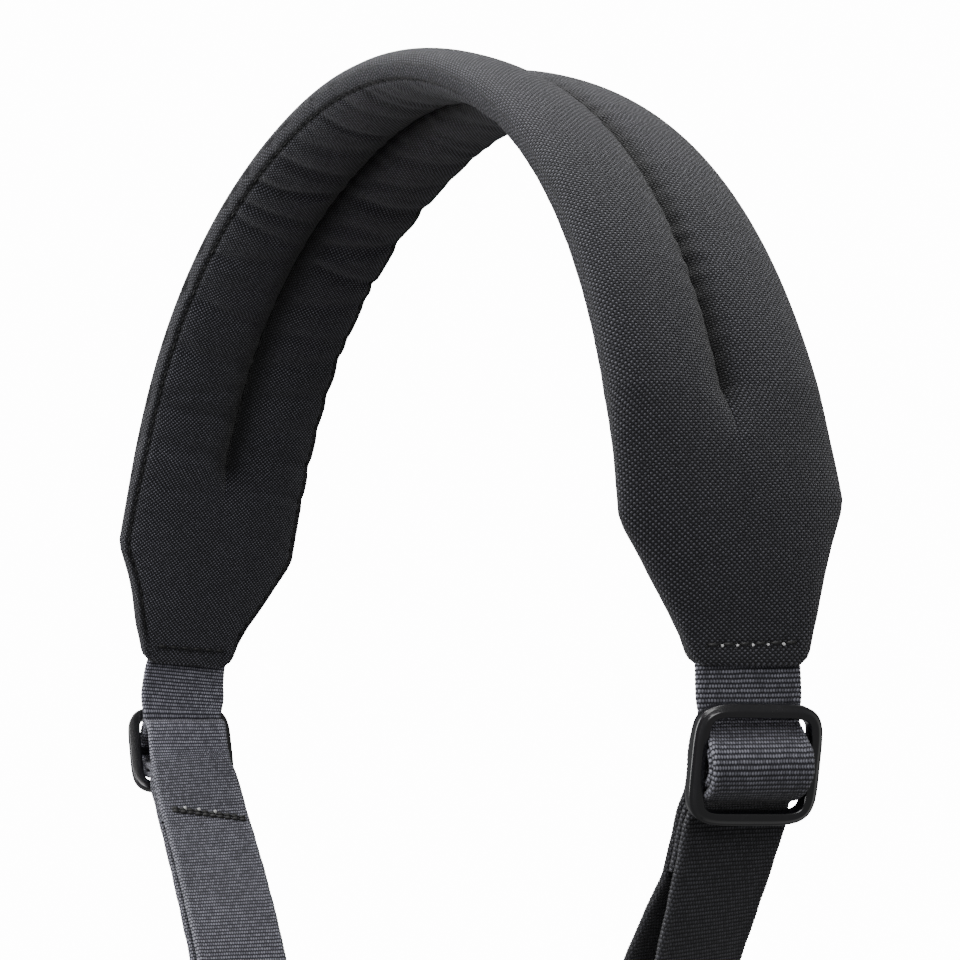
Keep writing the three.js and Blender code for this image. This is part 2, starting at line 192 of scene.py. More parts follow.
def gridFaces(rows, columns, closed):
    # quads between rows; a closed grid joins its last column to its first
    steps = columns if closed else columns - 1
    r, c = np.meshgrid(np.arange(rows - 1), np.arange(steps), indexing="ij")
    here, beside = r * columns + c, r * columns + (c + 1) % columns
    return np.stack([here, beside, beside + columns, here + columns], -1).reshape(-1, 4)


def makeMesh(name, points, faces, uv=None, smoothFaces=True, materials=(), slots=None, shade=None):
    # points in mm go into the mesh in metres; faces is a list of arrays of equal-sided polygons
    faces = faces if isinstance(faces, list) else [faces]
    mesh = bpy.data.meshes.new(name)
    flat = np.concatenate([f.reshape(-1) for f in faces]).astype(np.int32)
    sizes = np.concatenate([np.full(len(f), f.shape[1]) for f in faces]).astype(np.int32)
    starts = np.concatenate([[0], np.cumsum(sizes)[:-1]]).astype(np.int32)
    points = np.asarray(points, float).reshape(-1, 3) * 0.001
    mesh.vertices.add(len(points))
    mesh.vertices.foreach_set("co", points.astype(np.float32).ravel())
    mesh.loops.add(len(flat))
    mesh.loops.foreach_set("vertex_index", flat)
    mesh.polygons.add(len(sizes))
    mesh.polygons.foreach_set("loop_start", starts)
    if uv is not None:
        layer = mesh.uv_layers.new(name="cloth")
        layer.uv.foreach_set("vector", np.asarray(uv, np.float32).reshape(-1, 2)[flat].ravel())
        # the shade attribute is a factor on the colour that carries painted light and shade
        layer = mesh.attributes.new("shade", "FLOAT", "POINT")
        shade = np.ones(len(points)) if shade is None else shade
        layer.data.foreach_set("value", np.asarray(shade, np.float32).ravel())
    mesh.update(calc_edges=True)
    mesh.polygons.foreach_set("use_smooth", np.full(len(sizes), smoothFaces))
    for material in materials:
        mesh.materials.append(material)
    if slots is not None:
        mesh.polygons.foreach_set("material_index", np.asarray(slots, np.int32))
    mesh.validate()
    made = bpy.data.objects.new(name, mesh)
    scene.collection.objects.link(made)
    return made


def closeFan(loop, centre):
    # triangles from a ring of points to one centre point
    return np.stack([loop, np.roll(loop, -1), np.full(len(loop), centre)], 1)


# Node tools
def newGroup(name, inputs, outputs):
    tree = bpy.data.node_groups.new(name, "ShaderNodeTree")
    for label, kind, value in inputs:
        socket = tree.interface.new_socket(label, in_out="INPUT", socket_type="NodeSocket" + kind)
        if value is not None:
            socket.default_value = value
    for label, kind in outputs:
        tree.interface.new_socket(label, in_out="OUTPUT", socket_type="NodeSocket" + kind)
    return tree, tree.nodes.new("NodeGroupInput"), tree.nodes.new("NodeGroupOutput")


def plug(tree, socket, value):
    if isinstance(value, bpy.types.NodeSocket):
        tree.links.new(value, socket)
    elif value is not None:
        socket.default_value = value


def math(tree, operation, a, b=None, c=None):
    node = tree.nodes.new("ShaderNodeMath")
    node.operation = operation
    for socket, value in zip(node.inputs, (a, b, c)):
        plug(tree, socket, value)
    return node.outputs[0]


def mixColour(tree, factor, a, b, blend="MIX"):
    node = tree.nodes.new("ShaderNodeMix")
    node.data_type = "RGBA"
    node.blend_type = blend
    plug(tree, node.inputs[0], factor)
    plug(tree, node.inputs[6], a)
    plug(tree, node.inputs[7], b)
    return node.outputs[2]


def stepUp(tree, value, low, high):
    node = tree.nodes.new("ShaderNodeMapRange")
    node.interpolation_type = "SMOOTHSTEP"
    plug(tree, node.inputs["Value"], value)
    plug(tree, node.inputs["From Min"], low)
    plug(tree, node.inputs["From Max"], high)
    return node.outputs["Result"]


def noise(tree, vector, scale, detail=2.0, roughness=0.5):
    node = tree.nodes.new("ShaderNodeTexNoise")
    plug(tree, node.inputs["Vector"], vector)
    plug(tree, node.inputs["Scale"], scale)
    plug(tree, node.inputs["Detail"], detail)
    plug(tree, node.inputs["Roughness"], roughness)
    return node.outputs["Fac"]


def grey(value, blue=1.0):
    return (value, value, value * blue, 1.0)


weaveLook = {
    "wanderScale": 60, "wanderReach": 0.0011, "litFrom": 0.05, "litTo": 0.75, "cloudScale": 45,
    "fuzzScale": 5200, "fuzz": 0.25, "roughness": 0.9, "smoother": 0.22,
}


def weaveGroup():
    # plain weave on metres of UV: the product of two cosines is up where the warp lies on top and down where
    # the weft does, so its size is the height and its sign picks the yarn on top. The yarn tops are painted
    # lighter than the cloth between them, a painted highlight; the weave pattern itself is real
    tree, source, sink = newGroup(
        "plainWeave",
        [("UV", "Vector", None), ("Warp pitch mm", "Float", 0.64), ("Weft pitch mm", "Float", 0.64),
         ("Dark", "Color", grey(0.01)), ("Light", "Color", grey(0.06)), ("Contrast", "Float", 1.0),
         ("Shade", "Float", 1.0)],
        [("Color", "Color"), ("Height", "Float"), ("Roughness", "Float")])
    split = tree.nodes.new("ShaderNodeSeparateXYZ")
    tree.links.new(source.outputs["UV"], split.inputs[0])
    wander = noise(tree, source.outputs["UV"], weaveLook["wanderScale"], 2)
    shift = math(tree, "MULTIPLY", math(tree, "SUBTRACT", wander, 0.5), weaveLook["wanderReach"])
    warpPitch = math(tree, "MULTIPLY", source.outputs["Warp pitch mm"], 0.001)
    weftPitch = math(tree, "MULTIPLY", source.outputs["Weft pitch mm"], 0.001)
    a = math(tree, "DIVIDE", math(tree, "ADD", split.outputs["X"], shift), warpPitch)
    b = math(tree, "DIVIDE", math(tree, "ADD", split.outputs["Y"], shift), weftPitch)
    waveA = math(tree, "COSINE", math(tree, "MULTIPLY", a, np.pi))
    waveB = math(tree, "COSINE", math(tree, "MULTIPLY", b, np.pi))
    product = math(tree, "MULTIPLY", waveA, waveB)
    lit = stepUp(tree, product, weaveLook["litFrom"], weaveLook["litTo"])
    cells = tree.nodes.new("ShaderNodeTexWhiteNoise")
    cells.noise_dimensions = "2D"
    rounded = tree.nodes.new("ShaderNodeCombineXYZ")
    tree.links.new(math(tree, "ROUND", a), rounded.inputs[0])
    tree.links.new(math(tree, "ROUND", b), rounded.inputs[1])
    tree.links.new(rounded.outputs[0], cells.inputs["Vector"])
    uneven = math(tree, "MULTIPLY_ADD", cells.outputs["Value"], 0.6, 0.65)
    lit = math(tree, "MULTIPLY", math(tree, "MULTIPLY", lit, uneven), source.outputs["Contrast"])
    cloud = noise(tree, source.outputs["UV"], weaveLook["cloudScale"], 3, 0.6)
    shade = math(tree, "MULTIPLY_ADD", cloud, 0.5, 0.75)
    # painted highlight: the yarn tops get the lighter colour, the cloth between them the dark one
    colour = mixColour(tree, lit, source.outputs["Dark"], source.outputs["Light"])
    # painted shade: the mesh's shade attribute darkens the colour
    shade = math(tree, "MULTIPLY", shade, source.outputs["Shade"])
    colour = mixColour(tree, 1.0, colour, shade, "MULTIPLY")
    height = math(tree, "ABSOLUTE", product)
    fuzz = noise(tree, source.outputs["UV"], weaveLook["fuzzScale"], 2, 0.7)
    height = math(tree, "ADD", height, math(tree, "MULTIPLY", fuzz, weaveLook["fuzz"]))
    tree.links.new(colour, sink.inputs["Color"])
    tree.links.new(height, sink.inputs["Height"])
    smoother = math(tree, "MULTIPLY", lit, weaveLook["smoother"])
    rough = math(tree, "SUBTRACT", weaveLook["roughness"], smoother)
    tree.links.new(rough, sink.inputs["Roughness"])
    return tree


ribLook = {
    "wanderScale": 130, "wanderShare": 0.35, "selvedgeFrom": 0.9, "selvedgeTo": 1.7, "selvedgeGlint": 1.2,
    "selvedgeHeight": 0.8, "cloudScale": 90, "fuzzScale": 4200, "fuzz": 0.2, "roughness": 0.88,
    "smoother": 0.25,
}


def ribGroup():
    # webbing on metres of UV: ribs across the strip, each a row of short floats set half a step over from row
    # to row. The float tops are painted lighter, a painted highlight, and the looped threads along both
    # selvedges are painted brighter still, a painted highlight where their round edges catch the light
    tree, source, sink = newGroup(
        "ribbedWebbing",
        [("UV", "Vector", None), ("Rib pitch mm", "Float", 1.05), ("Float pitch mm", "Float", 0.72),
         ("Dark", "Color", grey(0.01)), ("Light", "Color", grey(0.07)), ("Contrast", "Float", 1.0),
         ("Shade", "Float", 1.0), ("Half width mm", "Float", 12.8)],
        [("Color", "Color"), ("Height", "Float"), ("Roughness", "Float")])
    split = tree.nodes.new("ShaderNodeSeparateXYZ")
    tree.links.new(source.outputs["UV"], split.inputs[0])
    run = math(tree, "MULTIPLY", split.outputs["X"], 1000.0)
    place = math(tree, "MULTIPLY", split.outputs["Y"], 1000.0)
    wander = noise(tree, source.outputs["UV"], ribLook["wanderScale"], 2)
    a = math(tree, "DIVIDE", run, source.outputs["Rib pitch mm"])
    wander = math(tree, "MULTIPLY", math(tree, "SUBTRACT", wander, 0.5), ribLook["wanderShare"])
    a = math(tree, "ADD", a, wander)
    b = math(tree, "DIVIDE", place, source.outputs["Float pitch mm"])
    row = math(tree, "FLOOR", a)
    within = math(tree, "SUBTRACT", math(tree, "FRACT", a), 0.5)
    rib = math(tree, "COSINE", math(tree, "MULTIPLY", within, np.pi))
    offset = math(tree, "MULTIPLY", math(tree, "MODULO", row, 2.0), 0.5)
    along = math(tree, "SUBTRACT", math(tree, "FRACT", math(tree, "ADD", b, offset)), 0.5)
    bead = math(tree, "COSINE", math(tree, "MULTIPLY", along, np.pi))
    strand = math(tree, "MULTIPLY", rib, math(tree, "MULTIPLY_ADD", bead, 0.8, 0.2))
    cells = tree.nodes.new("ShaderNodeTexWhiteNoise")
    cells.noise_dimensions = "2D"
    rounded = tree.nodes.new("ShaderNodeCombineXYZ")
    tree.links.new(row, rounded.inputs[0])
    tree.links.new(math(tree, "FLOOR", math(tree, "ADD", b, offset)), rounded.inputs[1])
    tree.links.new(rounded.outputs[0], cells.inputs["Vector"])
    acrossShare = math(tree, "DIVIDE", place, source.outputs["Half width mm"])
    folded = math(tree, "PINGPONG", math(tree, "ADD", acrossShare, 1.0), 1.0)
    fromEdge = math(tree, "MULTIPLY", folded, source.outputs["Half width mm"])
    beyondEdge = stepUp(tree, fromEdge, ribLook["selvedgeFrom"], ribLook["selvedgeTo"])
    selvedge = math(tree, "SUBTRACT", 1.0, beyondEdge)
    uneven = math(tree, "MULTIPLY_ADD", cells.outputs["Value"], 0.8, 0.5)
    # painted highlight: the selvedges are painted brighter where their round edges catch the light
    glintGain = math(tree, "MULTIPLY_ADD", selvedge, ribLook["selvedgeGlint"], 1.0)
    glintGain = math(tree, "MULTIPLY", source.outputs["Contrast"], glintGain)
    lit = math(tree, "MULTIPLY", stepUp(tree, strand, 0.2, 0.95), math(tree, "MULTIPLY", uneven, glintGain))
    cloud = noise(tree, source.outputs["UV"], ribLook["cloudScale"], 3, 0.6)
    # painted light and shade: the mesh's shade attribute scales the colour
    shade = math(tree, "MULTIPLY", math(tree, "MULTIPLY_ADD", cloud, 0.5, 0.75), source.outputs["Shade"])
    # painted highlight: the float tops get the lighter colour
    colour = mixColour(tree, lit, source.outputs["Dark"], source.outputs["Light"])
    colour = mixColour(tree, 1.0, colour, shade, "MULTIPLY")
    height = math(tree, "ADD", math(tree, "MULTIPLY", rib, 0.5), math(tree, "MULTIPLY", strand, 0.6))
    taller = math(tree, "MULTIPLY_ADD", selvedge, ribLook["selvedgeHeight"], 1.0)
    height = math(tree, "MULTIPLY", height, taller)
    fuzz = noise(tree, source.outputs["UV"], ribLook["fuzzScale"], 2, 0.7)
    height = math(tree, "ADD", height, math(tree, "MULTIPLY", fuzz, ribLook["fuzz"]))
    tree.links.new(colour, sink.inputs["Color"])
    tree.links.new(height, sink.inputs["Height"])
    smoother = math(tree, "MULTIPLY", lit, ribLook["smoother"])
    tree.links.new(math(tree, "SUBTRACT", ribLook["roughness"], smoother), sink.inputs["Roughness"])
    return tree


castLook = {
    "cloudScale": 120, "grainScale": 2600, "rubScale": 320, "rubFrom": 0.56, "rubTo": 0.8, "rub": 0.45,
    "cloud": 0.14, "grain": 0.06,
}


def castGroup():
    # satin cast finish: broad cloud in the roughness, fine grain and faint rubbed patches
    tree, source, sink = newGroup(
        "satinCast",
        [("Vector", "Vector", None), ("Base", "Color", grey(0.008)), ("Rubbed", "Color", grey(0.05)),
         ("Roughness", "Float", 0.34)],
        [("Color", "Color"), ("Height", "Float"), ("Roughness", "Float")])
    cloud = noise(tree, source.outputs["Vector"], castLook["cloudScale"], 3, 0.55)
    grain = noise(tree, source.outputs["Vector"], castLook["grainScale"], 2, 0.6)
    rub = noise(tree, source.outputs["Vector"], castLook["rubScale"], 3, 0.65)
    rub = stepUp(tree, rub, castLook["rubFrom"], castLook["rubTo"])
    rub = math(tree, "MULTIPLY", rub, castLook["rub"])
    colour = mixColour(tree, rub, source.outputs["Base"], source.outputs["Rubbed"])
    least = math(tree, "SUBTRACT", source.outputs["Roughness"], castLook["cloud"] / 2)
    rough = math(tree, "MULTIPLY_ADD", cloud, castLook["cloud"], least)
    rough = math(tree, "ADD", rough, math(tree, "MULTIPLY", grain, castLook["grain"]))
    tree.links.new(colour, sink.inputs["Color"])
    tree.links.new(grain, sink.inputs["Height"])
    tree.links.new(rough, sink.inputs["Roughness"])
    return tree


def newMaterial(name):
    material = bpy.data.materials.new(name)
    material.use_nodes = True
    tree = material.node_tree
    tree.nodes.clear()
    output = tree.nodes.new("ShaderNodeOutputMaterial")
    shader = tree.nodes.new("ShaderNodeBsdfPrincipled")
    tree.links.new(shader.outputs[0], output.inputs[0])
    return material, tree, shader


def groupMaterial(name, group, vectorName, settings, constants, bumpDistance, bumpStrength=1.0):
    # one group feeds colour, roughness and bump; constants are set straight on the shader's sockets
    material, tree, shader = newMaterial(name)
    node = tree.nodes.new("ShaderNodeGroup")
    node.node_tree = group
    if vectorName == "UV":
        source = tree.nodes.new("ShaderNodeUVMap")
        source.uv_map = "cloth"
        tree.links.new(source.outputs["UV"], node.inputs[0])
        # the shade attribute brings the mesh's painted light and shade into the colour
        shading = tree.nodes.new("ShaderNodeAttribute")
        shading.attribute_name = "shade"
        tree.links.new(shading.outputs["Fac"], node.inputs["Shade"])
    else:
        source = tree.nodes.new("ShaderNodeTexCoord")
        tree.links.new(source.outputs["Object"], node.inputs[0])
    for label, value in settings.items():
        node.inputs[label].default_value = value
    bump = tree.nodes.new("ShaderNodeBump")
    bump.inputs["Distance"].default_value = bumpDistance
    bump.inputs["Strength"].default_value = bumpStrength
    tree.links.new(node.outputs["Height"], bump.inputs["Height"])
    tree.links.new(node.outputs["Color"], shader.inputs["Base Color"])
    tree.links.new(node.outputs["Roughness"], shader.inputs["Roughness"])
    tree.links.new(bump.outputs[0], shader.inputs["Normal"])
    for label, value in constants.items():
        shader.inputs[label].default_value = value
    return material


finishes = {
    # the second colour of each cloth is a painted highlight on the yarn and float tops
    "outerWeave": {
        "Warp pitch mm": 0.58, "Weft pitch mm": 0.66, "Dark": grey(0.0035, 1.5), "Light": grey(0.066, 1.2),
    },
    "innerWeave": {
        "Warp pitch mm": 0.56, "Weft pitch mm": 0.6, "Dark": grey(0.0045, 1.5), "Light": grey(0.115, 1.2),
    },
    "webbing": {
        "Rib pitch mm": 1.05, "Float pitch mm": 0.72, "Dark": grey(0.01, 1.4), "Light": grey(0.17, 1.2),
    },
    "cast": {"Base": grey(0.0025, 1.4), "Rubbed": grey(0.012, 1.2), "Roughness": 0.22},
    "clothSheen": {"Sheen Weight": 0.12, "Sheen Roughness": 0.45, "Specular IOR Level": 0.25},
    "webbingSheen": {"Sheen Weight": 0.1, "Sheen Roughness": 0.4, "Specular IOR Level": 0.35},
    "castCoat": {
        "Metallic": 0.0, "Specular IOR Level": 0.5, "Coat Weight": 0.35, "Coat Roughness": 0.1,
    },
}
weave, ribs, cast = weaveGroup(), ribGroup(), castGroup()
outerCloth = groupMaterial("outerWeave", weave, "UV", finishes["outerWeave"], finishes["clothSheen"], 0.00022)
innerCloth = groupMaterial("innerWeave", weave, "UV", finishes["innerWeave"], finishes["clothSheen"], 0.0002)
webbingCloth = groupMaterial(
    "webbingRibs", ribs, "UV", finishes["webbing"], finishes["webbingSheen"], 0.00022)
castBlack = groupMaterial("castBlack", cast, "Object", finishes["cast"], finishes["castCoat"], 0.00001, 0.35)


def threadMaterial(name, colour):
    # sewing thread: fine uneven light and dark on Object coordinates
    material, tree, shader = newMaterial(name)
    place = tree.nodes.new("ShaderNodeTexCoord")
    ply = noise(tree, place.outputs["Object"], 3800, 2, 0.5)
    tint = mixColour(tree, ply, grey(colour * 0.55), grey(colour * 1.4))
    bump = tree.nodes.new("ShaderNodeBump")
    bump.inputs["Distance"].default_value = 0.00006
    tree.links.new(ply, bump.inputs["Height"])
    tree.links.new(bump.outputs[0], shader.inputs["Normal"])
    tree.links.new(tint, shader.inputs["Base Color"])
    tree.links.new(math(tree, "MULTIPLY_ADD", ply, 0.2, 0.45), shader.inputs["Roughness"])
    return material


darkThread = threadMaterial("darkThread", 0.004)
# painted highlight: light grey thread that stands in for glints on the stitches
glintThread = threadMaterial("glintThread", 0.42)
print("materials built")


# Pad: two puffed lobes with a sewn channel, tapering to a flat end that holds the webbing
pad = {
    # run, half width, lobe height, channel height, squareness
    "sections": [
        (0, 28.3, 6.2, 1.4, 2.2), (154, 28.3, 6.2, 1.4, 2.2), (166, 28.3, 6.2, 5.2, 2.1),
        (180, 28.3, 5.9, 5.9, 2.2), (183, 27.3, 5.7, 5.7, 2.2), (190, 23.6, 5.2, 5.2, 2.4),
        (197, 20.4, 4.6, 4.6, 2.6), (202, 18.2, 4.0, 4.0, 3), (208, 15.8, 3.1, 3.1, 4),
        (212, 14.5, 2.8, 2.8, 5), (213.4, 13.7, 2.7, 2.7, 5), (214.6, 12.2, 2.5, 2.5, 5),
    ],
    "stations": 173,
    "around": 56,
    "refine": 4,
    "endFade": (204, 211),
    "channelFade": (153, 161),
    "hem": {"width": 1.7, "lift": 0.35, "rise": 1.1, "ditch": 0.6, "ditchGap": 0.25, "ditchWidth": 0.5},
    "holePitch": 3.0,
    "creases": {
        "span": 400, "pitch": 10.8, "jitter": 3, "slant": 0.28, "leanFrom": 14, "width": (1.7, 3.1),
        "depth": 1.55, "leastDepth": 0.35, "atCrown": 0.5, "crownToSide": (15, 75), "fade": (150, 178),
        "calmLeft": 0.45, "calmRight": 0.95,
    },
    "gathers": {
        "channel": 0.18, "channelStep": 1.1, "channelWidth": 0.16,
        "hem": 0.2, "hemStep": 0.95, "hemPlace": 3.8, "hemWidth": 2.2,
    },
    "endRow": {"run": 210.4, "width": 0.75, "depth": 0.5, "halfSpan": (10.6, 11.4), "pitch": 3.74},
    # painted shade: how much the channel, the hem ditch and the end row's pits are darkened, and how wide the
    # channel's painted shade is on each face
    "dark": {"channel": 0.85, "innerWidth": 0.17, "outerWidth": 0.1, "ditch": 0.85, "endRow": 0.8},
    "ends": {
        "from": (196, 214), "skewRight": 0.038, "skewLeft": -0.02,
        "driftRight": 0.4, "driftLeft": -1.0, "driftRun": 204, "driftWidth": 7.5,
    },
    # how much the end shrinks and how far it reaches, three times over, as it turns in
    "lips": ((0.95, 0.35), (0.84, 0.45), (0.6, -0.4)),
    "swellCap": 1.6,
    "innerSlack": 0.06,
}
swell = {
    "frames": 24,
    "softPin": 0.4,
    "channelHeld": 159,
    "endHeld": 203,
    "settings": {
        "quality": 6, "mass": 0.2, "tension_stiffness": 18, "compression_stiffness": 18,
        "shear_stiffness": 6, "bending_stiffness": 0.4, "tension_damping": 15, "compression_damping": 15,
        "use_pressure": True, "uniform_pressure_force": 4.0, "vertex_group_mass": "held", "pin_stiffness": 1,
    },
}


def sectionColumn(key, run):
    table = np.array(pad["sections"], float)
    return np.interp(np.abs(run), table[:, 0], table[:, key])


def faceHeight(run, share):
    # each lobe is (1 - |2 share - 1|^square)^(1/square) over a floor at the channel, and the two turn
    # into one crown towards the end
    half, lobe, channel, square = [sectionColumn(k, run) for k in (1, 2, 3, 4)]
    bulge = lambda x: np.maximum(1 - np.abs(x) ** square, 0) ** (1 / square)
    lobes = bulge(2 * share - 1)
    floor = channel / lobe
    deepest = pad["sections"][0][3] / pad["sections"][0][2]
    joined = np.clip((floor - deepest) / (1 - deepest), 0, 1)
    apart = np.where(share < 0.5, floor + (1 - floor) * lobes, lobes)
    return lobe * (apart + (bulge(share) - apart) * joined)


def padSection(run, turn):
    # turn 0..4 goes round the section: outer face from the +edge over the channel to the -edge, then
    # back along the inner face. Returns the signed place across and the height out
    quarter = np.floor(turn).astype(int) % 4
    angle = (turn - np.floor(turn)) * np.pi
    towardEdge = (quarter == 1) | (quarter == 3)
    share = np.where(towardEdge, 0.5 - 0.5 * np.cos(angle), 0.5 + 0.5 * np.cos(angle))
    sideSign = np.where((quarter == 1) | (quarter == 2), -1.0, 1.0)
    faceSign = np.where(quarter < 2, 1.0, -1.0)
    across = sideSign * share * sectionColumn(1, run)
    return across, faceSign * faceHeight(run, share), share, sideSign, faceSign


def padPoints(run, across, height):
    frames = padFrames(run[:, 0])
    at, along, out, width = [frames[:, k][:, None, :] for k in range(4)]
    return at + width * across[..., None] + out * height[..., None]


def refineAxis(grid, factor, axis, closed):
    # smooth curve through the grid's values along one axis, with factor - 1 new values in each gap
    grid = np.moveaxis(grid, axis, 0)
    if closed:
        before, after, later = np.roll(grid, 1, 0), np.roll(grid, -1, 0), np.roll(grid, -2, 0)
        here = grid
    else:
        here = grid[:-1]
        after = grid[1:]
        before = np.concatenate([grid[:1], grid[:-2]])
        later = np.concatenate([grid[2:], grid[-1:]])
    parts = []
    for t in np.arange(factor) / factor:
        w = [-0.5 * t + t * t - 0.5 * t ** 3, 1 - 2.5 * t * t + 1.5 * t ** 3,
             0.5 * t + 2 * t * t - 1.5 * t ** 3, -0.5 * t * t + 0.5 * t ** 3]
        parts.append(w[0] * before + w[1] * here + w[2] * after + w[3] * later)
    fine = np.stack(parts, 1).reshape(-1, *grid.shape[1:])
    if not closed:
        fine = np.concatenate([fine, grid[-1:]])
    return np.moveaxis(fine, 0, axis)


def swellPad(run, turn):
    # cloth simulation on the coarse grid: the cloth's own lengths are those of the flat pad with a
    # little slack, so the inside of the bend gathers while the air pressure fills the lobes
    across, height, share, sideSign, faceSign = padSection(run, turn)
    bent = padPoints(run, across, height)
    rows, columns = run.shape
    flat = np.stack([run * (1 + pad["innerSlack"] * (faceSign < 0)), across, height], -1)
    seedNoise = 0.05 * ripple(run * 0.9 + 7 * sideSign, 3) * ripple(across * 0.5, 5) * (faceSign < 0)
    start = padPoints(run, across, height - seedNoise)
    sheet = makeMesh("padCloth", start, gridFaces(rows, columns, True))
    sheet.shape_key_add(name="Basis")
    rest = sheet.shape_key_add(name="flat")
    rest.data.foreach_set("co", (flat.reshape(-1, 3) * 0.001).astype(np.float32).ravel())
    rest.value = 0
    held = np.zeros((rows, columns))
    held[(share < 0.02) & (np.abs(run) < swell["channelHeld"])] = 1
    held[np.abs(run) > swell["endHeld"]] = 1
    held[(np.abs(share - 0.9) < 0.03) & (faceSign < 0)] = swell["softPin"]
    group = sheet.vertex_groups.new(name="held")
    for weight in (swell["softPin"], 1.0):
        members = np.flatnonzero(np.isclose(held.ravel(), weight))
        group.add(members.tolist(), weight, "REPLACE")
    cloth = sheet.modifiers.new("swell", "CLOTH")
    for label, value in swell["settings"].items():
        setattr(cloth.settings, label, value)
    cloth.settings.rest_shape_key = rest
    cloth.settings.effector_weights.gravity = 0
    cloth.collision_settings.use_collision = False
    cloth.point_cache.frame_start = 1
    cloth.point_cache.frame_end = swell["frames"]
    for step in range(1, swell["frames"] + 1):
        scene.frame_set(step)
    evaluated = sheet.evaluated_get(bpy.context.evaluated_depsgraph_get())
    co = np.zeros(rows * columns * 3, np.float32)
    evaluated.data.vertices.foreach_get("co", co)
    scene.frame_set(1)
    mesh = sheet.data
    bpy.data.objects.remove(sheet)
    bpy.data.meshes.remove(mesh)
    move = co.reshape(rows, columns, 3) * 1000 - bent
    size = np.linalg.norm(move, axis=-1, keepdims=True)
    print("pad swelled: mean %.2f mm, most %.2f mm" % (size.mean(), size.max()))
    return move * np.minimum(1, pad["swellCap"] / np.maximum(size, 1e-9))


def gridNormals(points):
    # cross product of the steps along both directions of a closed grid
    down = np.gradient(points, axis=0)
    around = np.roll(points, -1, 1) - np.roll(points, 1, 1)
    return unit(np.cross(around, down))


def creases(run, across, share, sideSign):
    # soft cross valleys of the inner face: a bell-shaped dip at every uneven step along each lobe,
    # slanted a little and fading out at the channel and at the edge
    look = pad["creases"]
    depth = np.zeros_like(run)
    count = int(look["span"] / look["pitch"])
    lean = np.abs(across) - look["leanFrom"]
    for lobe in (-1, 1):
        rng = np.random.default_rng(40 + lobe)
        places = (np.arange(count) - (count - 1) / 2) * look["pitch"]
        places = places + rng.uniform(-look["jitter"], look["jitter"], count)
        slant = rng.uniform(-look["slant"], look["slant"], count)
        wide = rng.uniform(*look["width"], count)
        deep = rng.uniform(look["leastDepth"], 1.0, count) * look["depth"]
        dip = sum(d * np.exp(-((run - p - s * lean) / w) ** 2)
                  for p, s, w, d in zip(places, slant, wide, deep))
        depth = depth + np.where(sideSign == lobe, dip, 0)
    # deepest down the left side, weaker at the crown and gone before the flat ends. The edge waves most
    # on the left
    strength = look["atCrown"] + (1 - look["atCrown"]) * smooth(*look["crownToSide"], -run)
    strength = strength * (1 - smooth(*look["fade"], np.abs(run)))
    calmEdge = np.where(run < 0, look["calmLeft"], look["calmRight"])
    return depth * strength * smooth(0.0, 0.25, share) * (1 - calmEdge * smooth(0.8, 0.95, share))


def bell(distance, width):
    return np.exp(-(distance / width) ** 2)


def padRelief(run, across, share, sideSign, onInner, fromEdge):
    # how far the cloth stands off the plain shape, and the painted shade in its colour: the channel, the hem
    # ditch and the end row's pits are painted darker where shade falls. The hem's folded edge is proud, a
    # ditch with a row of thread holes runs beside it, and small gathers follow each seam
    hem, gathers, row, dark = [pad[k] for k in ("hem", "gathers", "endRow", "dark")]
    away = np.abs(run)
    endFade = 1 - smooth(*pad["endFade"], away)
    channelEnd = 1 - smooth(*pad["channelFade"], away)
    insideHem = 1 - smooth(hem["width"] - 0.45, hem["width"] + 0.1, fromEdge)
    lift = hem["lift"] * smooth(0, hem["rise"], fromEdge) * insideHem
    ditch = bell(fromEdge - hem["width"] - hem["ditchGap"], hem["ditchWidth"]) * onInner * endFade
    holes = 0.6 + 0.4 * np.cos(2 * np.pi * run / pad["holePitch"])
    atChannel = ripple(run / gathers["channelStep"] + 2.0 * sideSign, 12)
    atChannel = gathers["channel"] * atChannel * bell(share, gathers["channelWidth"]) * channelEnd
    atHem = ripple(run / gathers["hemStep"] + 5.0 * sideSign, 13)
    atHem = gathers["hem"] * atHem * bell(fromEdge - gathers["hemPlace"], gathers["hemWidth"])
    endHoles = 0.6 + 0.4 * np.cos(2 * np.pi * across / row["pitch"])
    inRow = 1 - smooth(*row["halfSpan"], np.abs(across))
    endPits = bell(away - row["run"], row["width"]) * inRow * endHoles
    offset = -hem["ditch"] * ditch * holes - row["depth"] * endPits + atChannel * endFade
    offset = offset + (lift + atHem - creases(run, across, share, sideSign)) * onInner * endFade
    # painted shade: the channel's floor, the hem ditch and the end row's pits are darkened
    channelPaintedShade = bell(share, np.where(onInner, dark["innerWidth"], dark["outerWidth"])) * channelEnd
    deepestPaintedShade = np.maximum(dark["channel"] * channelPaintedShade, dark["ditch"] * ditch)
    return offset, 1 - np.maximum(deepestPaintedShade, dark["endRow"] * endPits)


def settleEnds(points, run, across, frames):
    # each flat end is sheared a little along the run and set over a little across it
    look = pad["ends"]
    away = np.abs(run)
    onRight = run[:, :1] > 0
    skew = np.where(onRight, look["skewRight"], look["skewLeft"]) * across * smooth(*look["from"], away)
    drift = np.where(onRight, look["driftRight"], look["driftLeft"])
    drift = drift * bell(away - look["driftRun"], look["driftWidth"])
    return points + frames[:, 1][:, None] * skew[..., None] + frames[:, 3][:, None] * drift[..., None]


def padUv(points, run):
    # metres along the run, and metres along the cloth from the middle of each face
    rows, columns = run.shape
    stepLength = np.linalg.norm(np.roll(points, -1, 1) - points, axis=-1)
    walked = np.concatenate([np.zeros((rows, 1)), np.cumsum(stepLength, 1)[:, :-1]], 1)
    quarter = columns // 4
    onOuter = np.arange(columns) < 2 * quarter
    middle = np.where(onOuter, walked[:, quarter:quarter + 1], walked[:, 3 * quarter:3 * quarter + 1])
    return np.stack([run, walked - middle], -1) * 0.001


